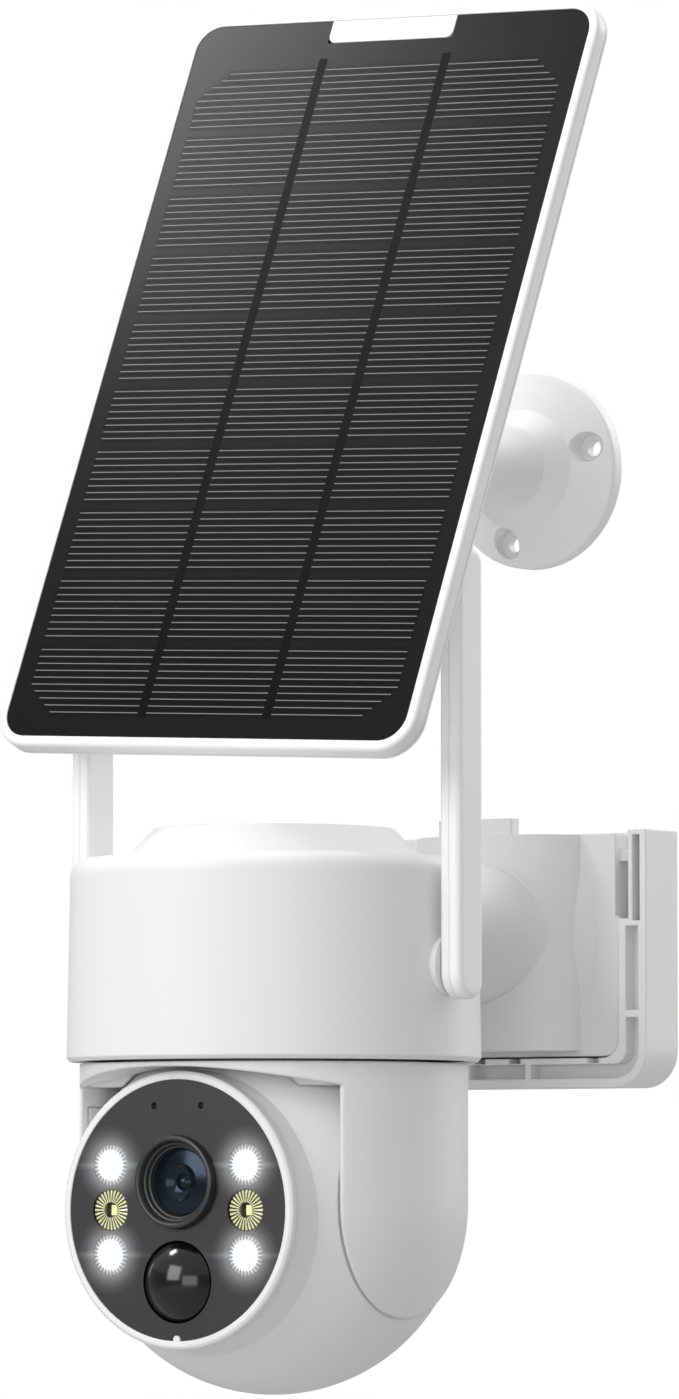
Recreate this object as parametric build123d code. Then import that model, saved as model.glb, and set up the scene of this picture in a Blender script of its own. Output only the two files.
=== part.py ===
from build123d import *
import math
import os

# Solar-powered pan and tilt security camera with its wall bracket and its own solar panel mount.
# Millimetres. +Z is up, the wall is the plane Y = 0 and everything stands on its -Y side.
# The origin is the centre of the camera bracket's wall face.

# ---- driving dimensions -------------------------------------------------------------------
AXIS_Y = -130.0          # pan axis, measured from the wall
WALL = 2.2               # moulded wall thickness

# wall plate and arm
PLATE_W, PLATE_H, PLATE_D = 98.2, 72.0, 17.2
PLATE_BACK = 3.0
PLATE_RIM, PLATE_RIM_LOW = 9.0, 8.3
PLATE_CORNER, TRAY_CORNER = 10.5, 5.4
CATCH_ROOM = 3.3         # how much wider the tray is beside the catches
CATCH_ROOM_LOW = 11.2    # height where that wider part begins
BAND_OUT, BAND_IN, BAND_D = 2.6, 6.6, 5.0   # groove sunk in the tray's rim
WALL_HOLE_R, WALL_HOLE_X, WALL_HOLE_Z = 2.3, 50.0, 36.0
ARM_PAD_W, ARM_PAD_BOTTOM, ARM_PAD_TOP = 79.2, -27.2, 35.0
ARM_PAD_D = 15.7
SWELL_HALF_W, SWELL_D = 26.5, 15.5
FLARE = 15.5             # radius of the fillet between the arm and its pad
ARM_R, ARM_Z = 20.0, 7.5

# fixed upper housing
HOUSING_R, HOUSING_TOP_R = 56.0, 55.0
HOUSING_BOTTOM, HOUSING_SHOULDER, PLATEAU_TOP = -30.4, 24.4, 32.6
PLATEAU_BASE_R, PLATEAU_R = 40.5, 32.4
SHOULDER_R = 5.0
BASE_SCREW_PCR, BASE_SCREW_ANGLES = 48.6, (45, 135, 225, 315)
PORT_Z = -17.0           # height of the charging socket and power button
SOCKET_ANGLE, BUTTON_ANGLE = 48.0, 72.0

# battery inside the housing
CELL_Z = 15.2            # height of the battery cells
CELL_RADIUS, CELL_LENGTH, CELL_SPREAD = 9.1, 65.0, 9.5

# yoke and ball
TILT_Z = -68.4
YOKE_R = 52.4
BALL_R = 51.4
HOLLOW_R = 52.0
ARM_HALF = 30.6          # half the arm's width, and the radius of its round end
ARM_INNER = 41.6         # where the arm's inner face is
BALL_FLAT = 41.0         # where the ball is cut flat beside the arm
YOKE_TOP = HOUSING_BOTTOM - 0.6
ARCH_SIDE, ARCH_TOP = 31.2, 36.2
STADIUM_UP = 26.0        # height of the arms' hollow above the tilt axis
DRUM_R = 41.0
DRUM_TOP = -14.2
HUB_R, HUB_BORE_R = 16.0, 7.0
HUB_TOP = 3.6
JOURNAL_R = 8.0

# face of the camera head, measured from the ball's centre
FACE_DROP = 1.8
FACE_OUT = 46.0
RING_R, FACE_R = 36.8, 34.6
FACE_T = 2.0
SPLIT = 12.0             # the head's two shells meet this far behind the tilt axis
HEAD_SCREW_X, HEAD_SCREW_Z = 22.0, 39.3
DOOR_W, DOOR_H = 13.0, 9.0
LENS_Z, LENS_R = 7.4, 12.4
PIR_Z, PIR_R = -19.0, 10.9
LED_X, LED_Z, LED_R = 21.7, 11.9, 5.6
MIC_X, MIC_Z, MIC_R = 7.5, 27.6, 0.95

# gears
MODULE = 0.9
PAN_TEETH, PAN_PINION_TEETH = 54, 15
TILT_TEETH, TILT_PINION_TEETH = 30, 15
GEAR_T = 3.0
GEAR_Z = DRUM_TOP + 12.4
GEAR_FACE = 32.8         # the tilt gear's outer face
SHAFT_R = 1.5            # both motors' shafts

# antennas
ANT_X, ANT_W, ANT_D = 57.2, 6.2, 12.4
ANT_BOTTOM, ANT_TOP, ANT_PIVOT_Z = -14.2, 106.2, -5.2
ANT_SEAM = 2.9
BOSS_R = 8.0

# solar panel
PANEL_W, PANEL_H, PANEL_T = 137.0, 225.0, 6.0
PANEL_CORNER = 10.5
GLASS_W, GLASS_H, GLASS_CORNER = 131.6, 219.4, 7.6
GLASS_T = 1.6
BLANK_W, BLANK_H = 41.5, 7.0   # plain white field at the glass's top edge
CELL_COLUMNS, CELL_ROWS = 3, 10
COLUMN_W, COLUMN_GAP = 38.2, 3.0
CELL_FIELD_H, CELL_FIELD_Z = 194.0, -4.0
PANEL_LEAN = 21.5        # degrees back from upright
PANEL_TURN = -2.9        # degrees that the panel is turned about its stud
PANEL_X, MOUNT_Z = 3.2, 140.1
BALL_JOINT_Y = -79.0
STEM_LENGTH = 41.7       # ball centre to the panel's rear
BASE_R, BASE_RIM = 28.0, 4.2
BASE_PCD, BASE_HOLE_R, BASE_SINK_R = 43.0, 2.3, 4.3
BASE_HOLE_ANGLES = (14.5, 134.5, 254.5)
NECK_R = 12.5
STUD_BALL_R = 8.5


# ---- helpers ------------------------------------------------------------------------------
def rod(radius, length, start, direction):
    """Cylinder of a radius and length that starts at a point and runs along a direction."""
    plane = Plane(origin=start, z_dir=direction)
    return plane * Cylinder(radius, length, align=(Align.CENTER, Align.CENTER, Align.MIN))


def ring(outer, inner, length, start, direction):
    """Tube of two radii that starts at a point and runs along a direction."""
    return rod(outer, length, start, direction) - rod(inner, length, start, direction)


def slab(low, high):
    """Box between two corners."""
    size = [b - a for a, b in zip(low, high)]
    middle = [(a + b) / 2 for a, b in zip(low, high)]
    return Pos(*middle) * Box(*size)


def ball(radius, x=0.0, y=AXIS_Y, z=TILT_Z):
    """Sphere about a point, by default the centre of the camera head."""
    return Pos(x, y, z) * Sphere(radius)


def turned(points, y=AXIS_Y):
    """Solid of revolution about the vertical axis from (radius, height) points."""
    outline = Plane.XZ * make_face(Polyline(*points, close=True))
    return Pos(0, y, 0) * revolve(outline, Axis.Z)


def head_rod(radius, length, x, z, out, inward=True):
    """Cylinder along Y on the head's face; out is the distance of its start from the centre."""
    direction = (0, 1, 0) if inward else (0, -1, 0)
    return rod(radius, length, (x, AXIS_Y - out, TILT_Z - FACE_DROP + z), direction)


def gear(teeth, thickness, bore):
    """Spur gear with stub involute teeth and backlash, its first tooth on +X."""
    pitch = MODULE * teeth / 2
    base = pitch * math.cos(math.radians(20))
    root = pitch - 1.05 * MODULE
    tip = pitch + 0.8 * MODULE
    involute = math.tan(math.radians(20)) - math.radians(20)
    half = math.pi / (2 * teeth) - 0.10 / pitch + involute
    points = []
    for tooth in range(teeth):
        middle = 2 * math.pi * tooth / teeth
        flank = []
        for step in range(4):
            radius = max(base, root) + (tip - max(base, root)) * step / 3
            angle = math.acos(min(1.0, base / radius))
            flank.append((radius, half - (math.tan(angle) - angle)))
        if root < base:
            flank.insert(0, (root, flank[0][1]))
        for radius, angle in flank:
            points.append((radius * math.cos(middle - angle), radius * math.sin(middle - angle)))
        for radius, angle in reversed(flank):
            points.append((radius * math.cos(middle + angle), radius * math.sin(middle + angle)))
    body = extrude(make_face(Polyline(*points, close=True)), thickness)
    return body - Cylinder(bore, 3 * thickness)


PARTS = {}


def keep(name, *solids):
    """File one or more solids under a node name."""
    found = []
    for item in solids:
        found += list(item.solids())
    PARTS[name] = found[0] if len(found) == 1 else Compound(children=found)


# ---- wall bracket -------------------------------------------------------------------------
def tray_outline(inset, low, high, corner):
    """Block as wide as the plate less an inset, between two Y planes, with round lower corners."""
    half = PLATE_W / 2 - inset
    body = slab((-half, low, -PLATE_H / 2 + inset), (half, high, PLATE_H / 2))
    return fillet(body.edges().filter_by(Axis.Y).sort_by(Axis.Z)[:2], corner)


def make_wall_plate():
    """Open-topped tray screwed to the wall; the arm's pad slides down into it."""
    plate = tray_outline(0.0, -PLATE_D, 0.0, PLATE_CORNER)
    inner = PLATE_W / 2 - PLATE_RIM
    pocket = slab((-inner, -PLATE_D - 1, -PLATE_H / 2 + PLATE_RIM_LOW), (inner, -PLATE_BACK, 40))
    plate -= fillet(pocket.edges().filter_by(Axis.Y).sort_by(Axis.Z)[:2], TRAY_CORNER)
    # groove round the rim, left whole where ribs cross it
    front = -PLATE_D - 1
    band = tray_outline(BAND_OUT, front, -PLATE_D + BAND_D, PLATE_CORNER - BAND_OUT)
    band -= tray_outline(BAND_IN, front - 1, -PLATE_D + BAND_D + 1, PLATE_CORNER - BAND_IN)
    plate -= band & slab((-9.2, -40, -40), (9.2, 0, 0))
    for side in (-1, 1):
        low, high = sorted((side * 11.2, side * 60))
        plate -= band & slab((low, -40, -40), (high, 0, -16.5))
        plate -= band & slab((low, -40, -14.4), (high, 0, 9.1))
        low, high = sorted((side * (PLATE_W / 2 - 4.4), side * (PLATE_W / 2 - 2.0)))
        plate -= slab((low, front, 10.6), (high, -PLATE_BACK, 34.6))
        low, high = sorted((side * (inner - 0.1), side * (inner + CATCH_ROOM)))
        plate -= slab((low, front, CATCH_ROOM_LOW), (high, -PLATE_BACK, 40))
        # small notches in the rim under the pad
        for x in (5.9, 31.7):
            floor = -PLATE_H / 2 + PLATE_RIM_LOW
            plate -= slab((side * x - 1.9, front, floor - 1.4), (side * x + 1.9, -PLATE_D + 5, floor + 0.1))
    for x in (-WALL_HOLE_X / 2, WALL_HOLE_X / 2):
        for z in (-WALL_HOLE_Z / 2, WALL_HOLE_Z / 2):
            plate -= rod(WALL_HOLE_R, 20, (x, -PLATE_D, z), (0, 1, 0))
            plate -= rod(2 * WALL_HOLE_R, 1.2, (x, -PLATE_BACK, z), (0, 1, 0))
    return plate


def make_bracket_arm():
    """Pad that sits in the wall plate, and the thick round arm that carries the housing."""
    pad = slab((-ARM_PAD_W / 2, -ARM_PAD_D, ARM_PAD_BOTTOM), (ARM_PAD_W / 2, -3.3, ARM_PAD_TOP))
    pad = fillet(pad.edges().filter_by(Axis.Y).sort_by(Axis.Z)[:2], TRAY_CORNER - 0.5)
    # the pad is cut back beside the catches that keep it from sliding up again
    for side in (-1, 1):
        low, high = sorted((side * (ARM_PAD_W / 2 - 1.3), side * 50))
        pad -= slab((low, -ARM_PAD_D - 1, CATCH_ROOM_LOW + 0.8), (high, 0, 40.0))
        low, high = sorted((side * (ARM_PAD_W / 2 - 2.5), side * (ARM_PAD_W / 2 + CATCH_ROOM - 0.3)))
        pad += slab((low, -ARM_PAD_D + 2.2, 27.4), (high, -9.0, 30.9))
    # upright half-round swelling in front of the pad, with a raised tab on its top
    root = -ARM_PAD_D + 0.5
    foot = ARM_PAD_BOTTOM + 1.5
    swell = Pos(0, root, foot) * extrude(Ellipse(SWELL_HALF_W, SWELL_D), ARM_PAD_TOP - foot)
    swell = swell & slab((-40, -60, -40), (40, root, 40))
    tab = slab((-12, root - 13.6, ARM_PAD_TOP - 1), (12, root - 9.4, ARM_PAD_TOP + 4.6))
    # the arm flares like a trumpet and runs out into the pad's front
    flare_r, flare_end = ARM_R + FLARE, root - FLARE
    bend = FLARE * math.sqrt(0.5)
    with BuildSketch(Plane.XY) as half:
        with BuildLine():
            Polyline((0, -80), (0, root + 1), (flare_r, root + 1), (flare_r, root))
            ThreePointArc((flare_r, root), (flare_r - bend, flare_end + bend), (ARM_R, flare_end))
            Polyline((ARM_R, flare_end), (ARM_R, -80), (0, -80))
        make_face()
    arm = Pos(0, 0, ARM_Z) * revolve(half.sketch, Axis.Y)
    arm = arm & slab((-40, -90, ARM_PAD_BOTTOM + 1), (40, 0, ARM_PAD_TOP - 0.1))
    body = pad + swell + arm + tab
    # the arm is hollow for the lead and ends on the housing's curved back
    body -= rod(ARM_R - 3.0, 90, (0, -24, ARM_Z), (0, -1, 0))
    body -= Pos(0, AXIS_Y, 0) * Cylinder(HOUSING_R + 0.02, 200)
    for x in (-WALL_HOLE_X / 2, WALL_HOLE_X / 2):
        for z in (-WALL_HOLE_Z / 2, WALL_HOLE_Z / 2):
            body -= rod(5.5, 7.0, (x, -3.2, z), (0, -1, 0))
    return body


# ---- fixed housing ------------------------------------------------------------------------
def housing_profile(offset):
    """Outer (radius, height) outline of the housing, drawn in by an offset."""
    side_r, top_r = HOUSING_R - offset, HOUSING_TOP_R - offset
    return [
        (0, HOUSING_BOTTOM),
        (side_r, HOUSING_BOTTOM),
        (top_r, HOUSING_SHOULDER - offset),
        (PLATEAU_BASE_R, HOUSING_SHOULDER - offset),
        (PLATEAU_R, PLATEAU_TOP - offset),
        (0, PLATEAU_TOP - offset),
    ]


def make_housing_shell():
    """Upper shell: drafted side, round shoulder and raised round top."""
    outer = turned(housing_profile(0.0))
    rims = outer.edges().filter_by(GeomType.CIRCLE).sort_by(Axis.Z)
    outer = fillet([e for e in rims if abs(e.radius - HOUSING_TOP_R) < 0.5], SHOULDER_R)
    rims = outer.edges().filter_by(GeomType.CIRCLE)
    outer = fillet([e for e in rims if abs(e.radius - PLATEAU_R) < 0.3], 1.5)
    rims = outer.edges().filter_by(GeomType.CIRCLE)
    outer = fillet([e for e in rims if abs(e.radius - PLATEAU_BASE_R) < 0.3], 3.0)
    rims = outer.edges().filter_by(GeomType.CIRCLE)
    outer = chamfer([e for e in rims if abs(e.radius - HOUSING_R) < 0.3], 1.0)
    inner = turned(housing_profile(WALL))
    shell = outer - inner
    for side in (-1, 1):
        start = (side * 50.0, AXIS_Y, ANT_PIVOT_Z)
        boss = rod(BOSS_R, ANT_X - 0.25 - 50.0, start, (side, 0, 0))
        boss -= Pos(0, AXIS_Y, 0) * Cylinder(HOUSING_R - WALL, 200)
        shell += boss
        shell -= rod(2.0, 20, (side * 45, AXIS_Y, ANT_PIVOT_Z), (side, 0, 0))
    # lead hole into the arm, charging socket and power button on the rear left
    shell -= rod(12.0, 12, (0, AXIS_Y + 50, ARM_Z), (0, 1, 0))
    shell -= socket_frame() * slab((-5.6, -6, -2.7), (5.6, 8, 2.7))
    shell -= button_frame() * rod(3.6, 14, (0, -6, 0), (0, 1, 0))
    return shell


def rear_frame(azimuth, height):
    """Frame on the housing wall: +Y points outward at an angle from the back, +Z up."""
    angle = math.radians(azimuth)
    spot = (-(HOUSING_R - 0.4) * math.sin(angle), AXIS_Y + (HOUSING_R - 0.4) * math.cos(angle), height)
    return Location(spot, (0, 0, azimuth))


def socket_frame():
    """Where the charging socket opens through the housing."""
    return rear_frame(SOCKET_ANGLE, PORT_Z)


def button_frame():
    """Where the power button comes through the housing."""
    return rear_frame(BUTTON_ANGLE, PORT_Z)


def base_screw_places():
    """The (x, y) places of the screws that hold the housing base."""
    angles = [math.radians(angle) for angle in BASE_SCREW_ANGLES]
    return [(BASE_SCREW_PCR * math.cos(a), AXIS_Y + BASE_SCREW_PCR * math.sin(a)) for a in angles]


def make_housing_base():
    """Ring that closes the housing from below and holds the pan bearing and motor."""
    outer = HOUSING_R - WALL - 0.1
    base = turned([
        (DRUM_R + 0.8, HOUSING_BOTTOM + 0.2),
        (outer, HOUSING_BOTTOM + 0.2),
        (outer, HOUSING_BOTTOM + 2.6),
        (DRUM_R + 3.0, HOUSING_BOTTOM + 2.6),
        (DRUM_R + 3.0, DRUM_TOP + 0.8),
        (HUB_R + 3.2, DRUM_TOP + 0.8),
        (HUB_R + 3.2, DRUM_TOP + 7.0),
        (HUB_R + 1.2, DRUM_TOP + 7.0),
        (HUB_R + 1.2, DRUM_TOP + 0.8 - 0.2),
        (DRUM_R + 0.8, DRUM_TOP + 0.6),
    ])
    deck = turned([
        (HUB_R + 1.2, DRUM_TOP + 0.6),
        (DRUM_R + 3.0, DRUM_TOP + 0.6),
        (DRUM_R + 3.0, DRUM_TOP + 2.6),
        (HUB_R + 1.2, DRUM_TOP + 2.6),
    ])
    base += deck
    for x, y in base_screw_places():
        base -= rod(1.3, 10, (x, y, HOUSING_BOTTOM - 1), (0, 0, 1))
        base -= rod(2.4, 1.6, (x, y, HOUSING_BOTTOM - 0.5), (0, 0, 1))
    return base


def make_housing_screws():
    """Four pan-head screws that hold the housing base."""
    screws = []
    for x, y in base_screw_places():
        shank = rod(1.25, 8.0, (x, y, HOUSING_BOTTOM + 0.9), (0, 0, 1))
        head = rod(2.3, 0.8, (x, y, HOUSING_BOTTOM + 0.25), (0, 0, 1))
        screws.append(shank + head)
    return screws


def make_battery():
    """Two round cells lying side by side in a shaped tray."""
    cells = []
    end = CELL_LENGTH / 2
    tray = slab((-36, AXIS_Y - 20.5, CELL_Z - 10.4), (36, AXIS_Y + 20.5, CELL_Z - 1.8))
    for y in (AXIS_Y - CELL_SPREAD, AXIS_Y + CELL_SPREAD):
        cell = rod(CELL_RADIUS, CELL_LENGTH, (-end, y, CELL_Z), (1, 0, 0))
        cell += rod(3.0, 1.2, (end, y, CELL_Z), (1, 0, 0))
        cells.append(cell)
        tray -= rod(CELL_RADIUS + 0.05, CELL_LENGTH + 2.4, (-end - 1.1, y, CELL_Z), (1, 0, 0))
    return cells, tray


def make_main_board():
    """Round-ended circuit board with its chips, standing behind the batteries."""
    board = slab((-31, AXIS_Y + 31.0, -8.7), (31, AXIS_Y + 32.6, 19.5))
    # each chip is (x, z, width, height, thickness)
    for x, z, w, h, t in ((-14, 7, 14, 14, 1.6), (9, 10, 10, 8, 1.4), (22, 0, 7, 5, 2.4), (-2, -4, 6, 6, 1.0)):
        board += slab((x - w / 2, AXIS_Y + 31.0 - t, z - h / 2), (x + w / 2, AXIS_Y + 31.2, z + h / 2))
    return board


def motor_axis():
    """Where the pan motor's shaft stands, one centre distance from the pan axis."""
    reach = MODULE * (PAN_TEETH + PAN_PINION_TEETH) / 2
    return -reach, AXIS_Y


def make_pan_motor():
    """Geared stepper motor standing on the base, its shaft up through the pinion."""
    x, y = motor_axis()
    can = rod(5.6, 8.0, (x - 3.4, y, DRUM_TOP + 2.7), (0, 0, 1))
    shaft = rod(SHAFT_R, 8.4, (x, y, DRUM_TOP + 8.0), (0, 0, 1))
    plate = slab((x - 9, y - 10, DRUM_TOP + 2.7), (x + 5, y + 10, DRUM_TOP + 8.6))
    return can + plate + shaft


# ---- pan gearing --------------------------------------------------------------------------
def make_pan_gear():
    """Ring gear keyed on the yoke's hub."""
    wheel = gear(PAN_TEETH, GEAR_T, HUB_R + 0.02)
    return Pos(0, AXIS_Y, GEAR_Z) * wheel


def make_pan_pinion():
    """Pinion on the pan motor's shaft, in mesh with the ring gear."""
    x, y = motor_axis()
    wheel = Rot(0, 0, 180.0 / PAN_PINION_TEETH) * gear(PAN_PINION_TEETH, GEAR_T, SHAFT_R + 0.05)
    return Pos(x, y, GEAR_Z) * wheel


# ---- yoke ---------------------------------------------------------------------------------
def make_yoke():
    """Turning fork: a short drum over the ball, and two arms that end in round pads."""
    skirt = turned([(0, TILT_Z), (YOKE_R, TILT_Z), (YOKE_R, YOKE_TOP), (0, YOKE_TOP)])
    body = skirt + ball(YOKE_R)
    # side outline of the arms: straight sides down to a half circle about the tilt axis
    side = slab((-60, AXIS_Y - ARM_HALF, TILT_Z), (60, AXIS_Y + ARM_HALF, YOKE_TOP))
    side += rod(ARM_HALF, 120, (-60, AXIS_Y, TILT_Z), (1, 0, 0))
    band = slab((-60, AXIS_Y - 60, TILT_Z + ARCH_SIDE), (60, AXIS_Y + 60, YOKE_TOP))
    arch_rise = ARCH_TOP - ARCH_SIDE
    arch_r = (ARM_INNER ** 2 + arch_rise ** 2) / (2 * arch_rise)
    band -= rod(arch_r, 140, (0, AXIS_Y - 70, TILT_Z + ARCH_TOP - arch_r), (0, 1, 0))
    outline = side + band
    body = body & outline
    # the slot between the arms; flaring outward so that the ball's snout clears it
    opening = slab((-ARM_INNER, AXIS_Y - 70, TILT_Z - 60), (ARM_INNER, AXIS_Y + 70, TILT_Z + ARCH_SIDE - 0.01))
    body -= opening
    drum = turned([(0, YOKE_TOP - 1), (DRUM_R, YOKE_TOP - 1), (DRUM_R, DRUM_TOP), (0, DRUM_TOP)])
    body += drum
    body -= ball(HOLLOW_R) & slab((-ARM_INNER, AXIS_Y - 70, TILT_Z - 60), (ARM_INNER, AXIS_Y + 70, 0))
    body += rod(HUB_R, HUB_TOP - DRUM_TOP, (0, AXIS_Y, DRUM_TOP), (0, 0, 1))
    body -= rod(HUB_BORE_R, 60, (0, AXIS_Y, TILT_Z + 30), (0, 0, 1))
    # hollow of each arm, closed on the inside by a cover
    room = arm_room(YOKE_R - WALL) & side_stadium(ARM_HALF - WALL)
    for side_sign in (-1, 1):
        low, high = sorted((side_sign * (ARM_INNER - 1), side_sign * 60))
        body -= room & slab((low, AXIS_Y - 60, TILT_Z - 60), (high, AXIS_Y + 60, TILT_Z + STADIUM_UP))
    return body


def arm_room(radius):
    """Half ball below the tilt axis and a cylinder above it, as the arms' inside is shaped."""
    return ball(radius) + Pos(0, AXIS_Y, TILT_Z + STADIUM_UP / 2) * Cylinder(radius, STADIUM_UP)


def side_stadium(half):
    """Arm outline seen from the side, run right through along X."""
    body = slab((-60, AXIS_Y - half, TILT_Z), (60, AXIS_Y + half, TILT_Z + STADIUM_UP))
    return body + rod(half, 120, (-60, AXIS_Y, TILT_Z), (1, 0, 0))


def make_yoke_cover(side):
    """Inner cover of one arm with the journal that the head turns on."""
    plate = side_stadium(ARM_HALF - WALL - 0.05)
    low, high = sorted((side * ARM_INNER, side * (ARM_INNER + 2.0)))
    plate = plate & slab((low, AXIS_Y - 60, TILT_Z - 60), (high, AXIS_Y + 60, TILT_Z + STADIUM_UP - 0.1))
    plate = plate & arm_room(YOKE_R - WALL - 0.05)
    journal = rod(JOURNAL_R, ARM_INNER - 33.0, (side * 33.0, AXIS_Y, TILT_Z), (side, 0, 0))
    body = plate + journal
    return body - rod(4.0, 30, (side * 25, AXIS_Y, TILT_Z), (side, 0, 0))


# ---- camera head --------------------------------------------------------------------------
def head_solid(inset):
    """Ball with flat sides and a snout that flares out of it to the round face."""
    lip_r = RING_R - 0.4 - inset
    foot_r = 43.0 - inset
    front = AXIS_Y - FACE_OUT + 2.4
    with BuildSketch(Plane.XY) as half:
        with BuildLine():
            Polyline((0, AXIS_Y - 15), (0, front), (lip_r, front), (lip_r, front + 2.6))
            ThreePointArc((lip_r, front + 2.6), (lip_r + 1.7, front + 10.5), (foot_r, AXIS_Y - 20))
            Polyline((foot_r, AXIS_Y - 20), (foot_r, AXIS_Y - 15), (0, AXIS_Y - 15))
        make_face()
    snout = Pos(0, 0, TILT_Z - FACE_DROP) * revolve(half.sketch, Axis.Y)
    reach = BALL_FLAT - inset
    flats = slab((-reach, front, TILT_Z - 60), (reach, AXIS_Y + 70, TILT_Z + 60))
    return (ball(BALL_R - inset) & flats) + (snout & flats)


def head_screw_places():
    """The four (x, z) places of the screws that hold the ball's shells together."""
    return [(x, TILT_Z + z) for x in (-HEAD_SCREW_X, HEAD_SCREW_X) for z in (-HEAD_SCREW_Z, HEAD_SCREW_Z)]


def make_head_shells():
    """Front and rear shells of the ball, with journal bosses, screw bosses and card opening."""
    outer = head_solid(0.0)
    inner = head_solid(WALL) + head_rod(RING_R - 0.4 - WALL, 30, 0, 0, FACE_OUT)
    shell = outer - inner
    for side in (-1, 1):
        shell += ring(JOURNAL_R + 3.6, JOURNAL_R + 1.5, 5.0, (side * 34.0, AXIS_Y, TILT_Z), (side, 0, 0))
        shell -= rod(JOURNAL_R + 1.5, 12, (side * 33, AXIS_Y, TILT_Z), (side, 0, 0))
    shell -= door_frame() * slab((-DOOR_W / 2 - 0.3, -DOOR_H / 2 - 0.3, -8), (DOOR_W / 2 + 0.3, DOOR_H / 2 + 0.3, 4))
    for x, z in head_screw_places():
        shell += rod(3.4, 18.0, (x, AXIS_Y + SPLIT + 10, z), (0, -1, 0)) & outer
        shell -= rod(1.35, 14.0, (x, AXIS_Y + SPLIT + 8, z), (0, -1, 0))
        shell -= rod(2.7, 20.0, (x, AXIS_Y + SPLIT + 6, z), (0, 1, 0))
    front = shell & slab((-60, AXIS_Y - 70, -130), (60, AXIS_Y + SPLIT, 0))
    rear = shell & slab((-60, AXIS_Y + SPLIT, -130), (60, AXIS_Y + 70, 0))
    # speaker grille: slots through the rear of the ball
    for row in range(-3, 4):
        half = 9.0 if abs(row) < 3 else 6.0
        z = TILT_Z + 3.2 * row
        rear -= slab((-half, AXIS_Y + 40, z - 0.7), (half, AXIS_Y + 60, z + 0.7))
    return front, rear


def door_frame():
    """Frame of the card door: origin low on the ball's left, +Z outward, +X down and forward."""
    normal = Vector(-0.50, -0.17, -0.85).normalized()
    origin = Vector(0, AXIS_Y, TILT_Z) + normal * BALL_R
    return Plane(origin=origin, x_dir=normal.cross(Vector(0.56, -0.83, 0)), z_dir=normal).location


def make_face_parts():
    """Bezel ring, black face panel, lens barrel and lens, lamps, motion sensor, microphones."""
    out = FACE_OUT
    bezel = head_rod(RING_R, 2.4, 0, 0, out) - head_rod(FACE_R, 2.5, 0, 0, out)
    bezel = chamfer([e for e in bezel.edges().filter_by(GeomType.CIRCLE)
                     if abs(e.radius - RING_R) < 0.1 and (e @ 0).Y < AXIS_Y - out + 0.5], 0.7)
    skirt_r = RING_R - 0.45 - WALL
    bezel += head_rod(skirt_r, 1.2, 0, 0, out - 2.4) - head_rod(skirt_r - 2.0, 1.2, 0, 0, out - 2.4)
    bezel += head_rod(1.1, 2.4, 0, -FACE_R + 0.4, out)
    panel = head_rod(FACE_R - 0.05, FACE_T, 0, 0, out - 0.3)
    panel -= head_rod(1.2, 3, 0, -FACE_R + 0.4, out)
    panel -= head_rod(LENS_R + 0.05, 6, 0, LENS_Z, out + 1)
    panel -= head_rod(PIR_R + 0.05, 6, 0, PIR_Z, out + 1)
    for x in (-LED_X, LED_X):
        for z in (-LED_Z, 0, LED_Z):
            panel -= head_rod(LED_R + 0.05, 6, x, z, out + 1)
    for x in (-MIC_X, MIC_X):
        panel -= head_rod(MIC_R, 6, x, MIC_Z, out + 1)
    keep("bezel_ring", bezel)
    keep("face_panel", panel)

    barrel = head_rod(LENS_R, 14.0, 0, LENS_Z, out + 2.2)
    barrel -= head_rod(LENS_R - 1.9, 5.0, 0, LENS_Z, out + 2.3)
    barrel -= head_rod(6.6, 9.0, 0, LENS_Z, out + 2.3)
    keep("lens_barrel", barrel)
    cap = head_rod(6.5, 2.0, 0, LENS_Z, out - 4.7 + 1.6)
    dome = ball(9.0, 0, AXIS_Y - out + 3.1 + 7.0, TILT_Z - FACE_DROP + LENS_Z)
    cap += dome & head_rod(6.5, 4.5, 0, LENS_Z, out - 0.4)
    keep("lens_glass", cap)

    lamps, spots, chips = [], [], []
    for x in (-LED_X, LED_X):
        for z in (-LED_Z, 0, LED_Z):
            cup = head_rod(LED_R, 5.2, x, z, out - 0.9)
            cup -= head_rod(2.0, 1.2, x, z, out - 5.0)
            (spots if z == 0 else lamps).append(cup)
            chips.append(slab((x - 1.3, AXIS_Y - out + 5.0, TILT_Z - FACE_DROP + z - 1.3),
                              (x + 1.3, AXIS_Y - out + 6.1, TILT_Z - FACE_DROP + z + 1.3)))
    keep("flood_lenses", *lamps)
    keep("spot_lenses", *spots)
    keep("led_chips", *chips)
    board = head_rod(31.5, 1.4, 0, 0, out - 6.1)
    board -= head_rod(LENS_R + 0.6, 6, 0, LENS_Z, out - 4)
    board -= head_rod(6.0, 6, 0, PIR_Z, out - 4)
    keep("led_board", board)

    dome = ball(12.6, 0, AXIS_Y - out + 7.6, TILT_Z - FACE_DROP + PIR_Z)
    dome = dome & head_rod(PIR_R, 12, 0, PIR_Z, out + 6)
    dome -= ball(11.4, 0, AXIS_Y - out + 7.6, TILT_Z - FACE_DROP + PIR_Z)
    keep("pir_lens", dome)
    sensor = head_rod(4.6, 4.2, 0, PIR_Z, out - 3.2) + head_rod(5.8, 1.0, 0, PIR_Z, out - 6.2)
    keep("pir_sensor", sensor)
    mics = [head_rod(2.2, 1.6, x, MIC_Z, out - 2.35) for x in (-MIC_X, MIC_X)]
    keep("microphones", *mics)

    sensor_z = TILT_Z - FACE_DROP + LENS_Z
    plate = slab((-15, AXIS_Y - out + 11.9, sensor_z - 14), (15, AXIS_Y - out + 13.3, sensor_z + 14))
    plate += slab((-5, AXIS_Y - out + 11.9, sensor_z - 4), (5, AXIS_Y - out + 14.5, sensor_z + 4))
    keep("sensor_board", plate)


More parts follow.
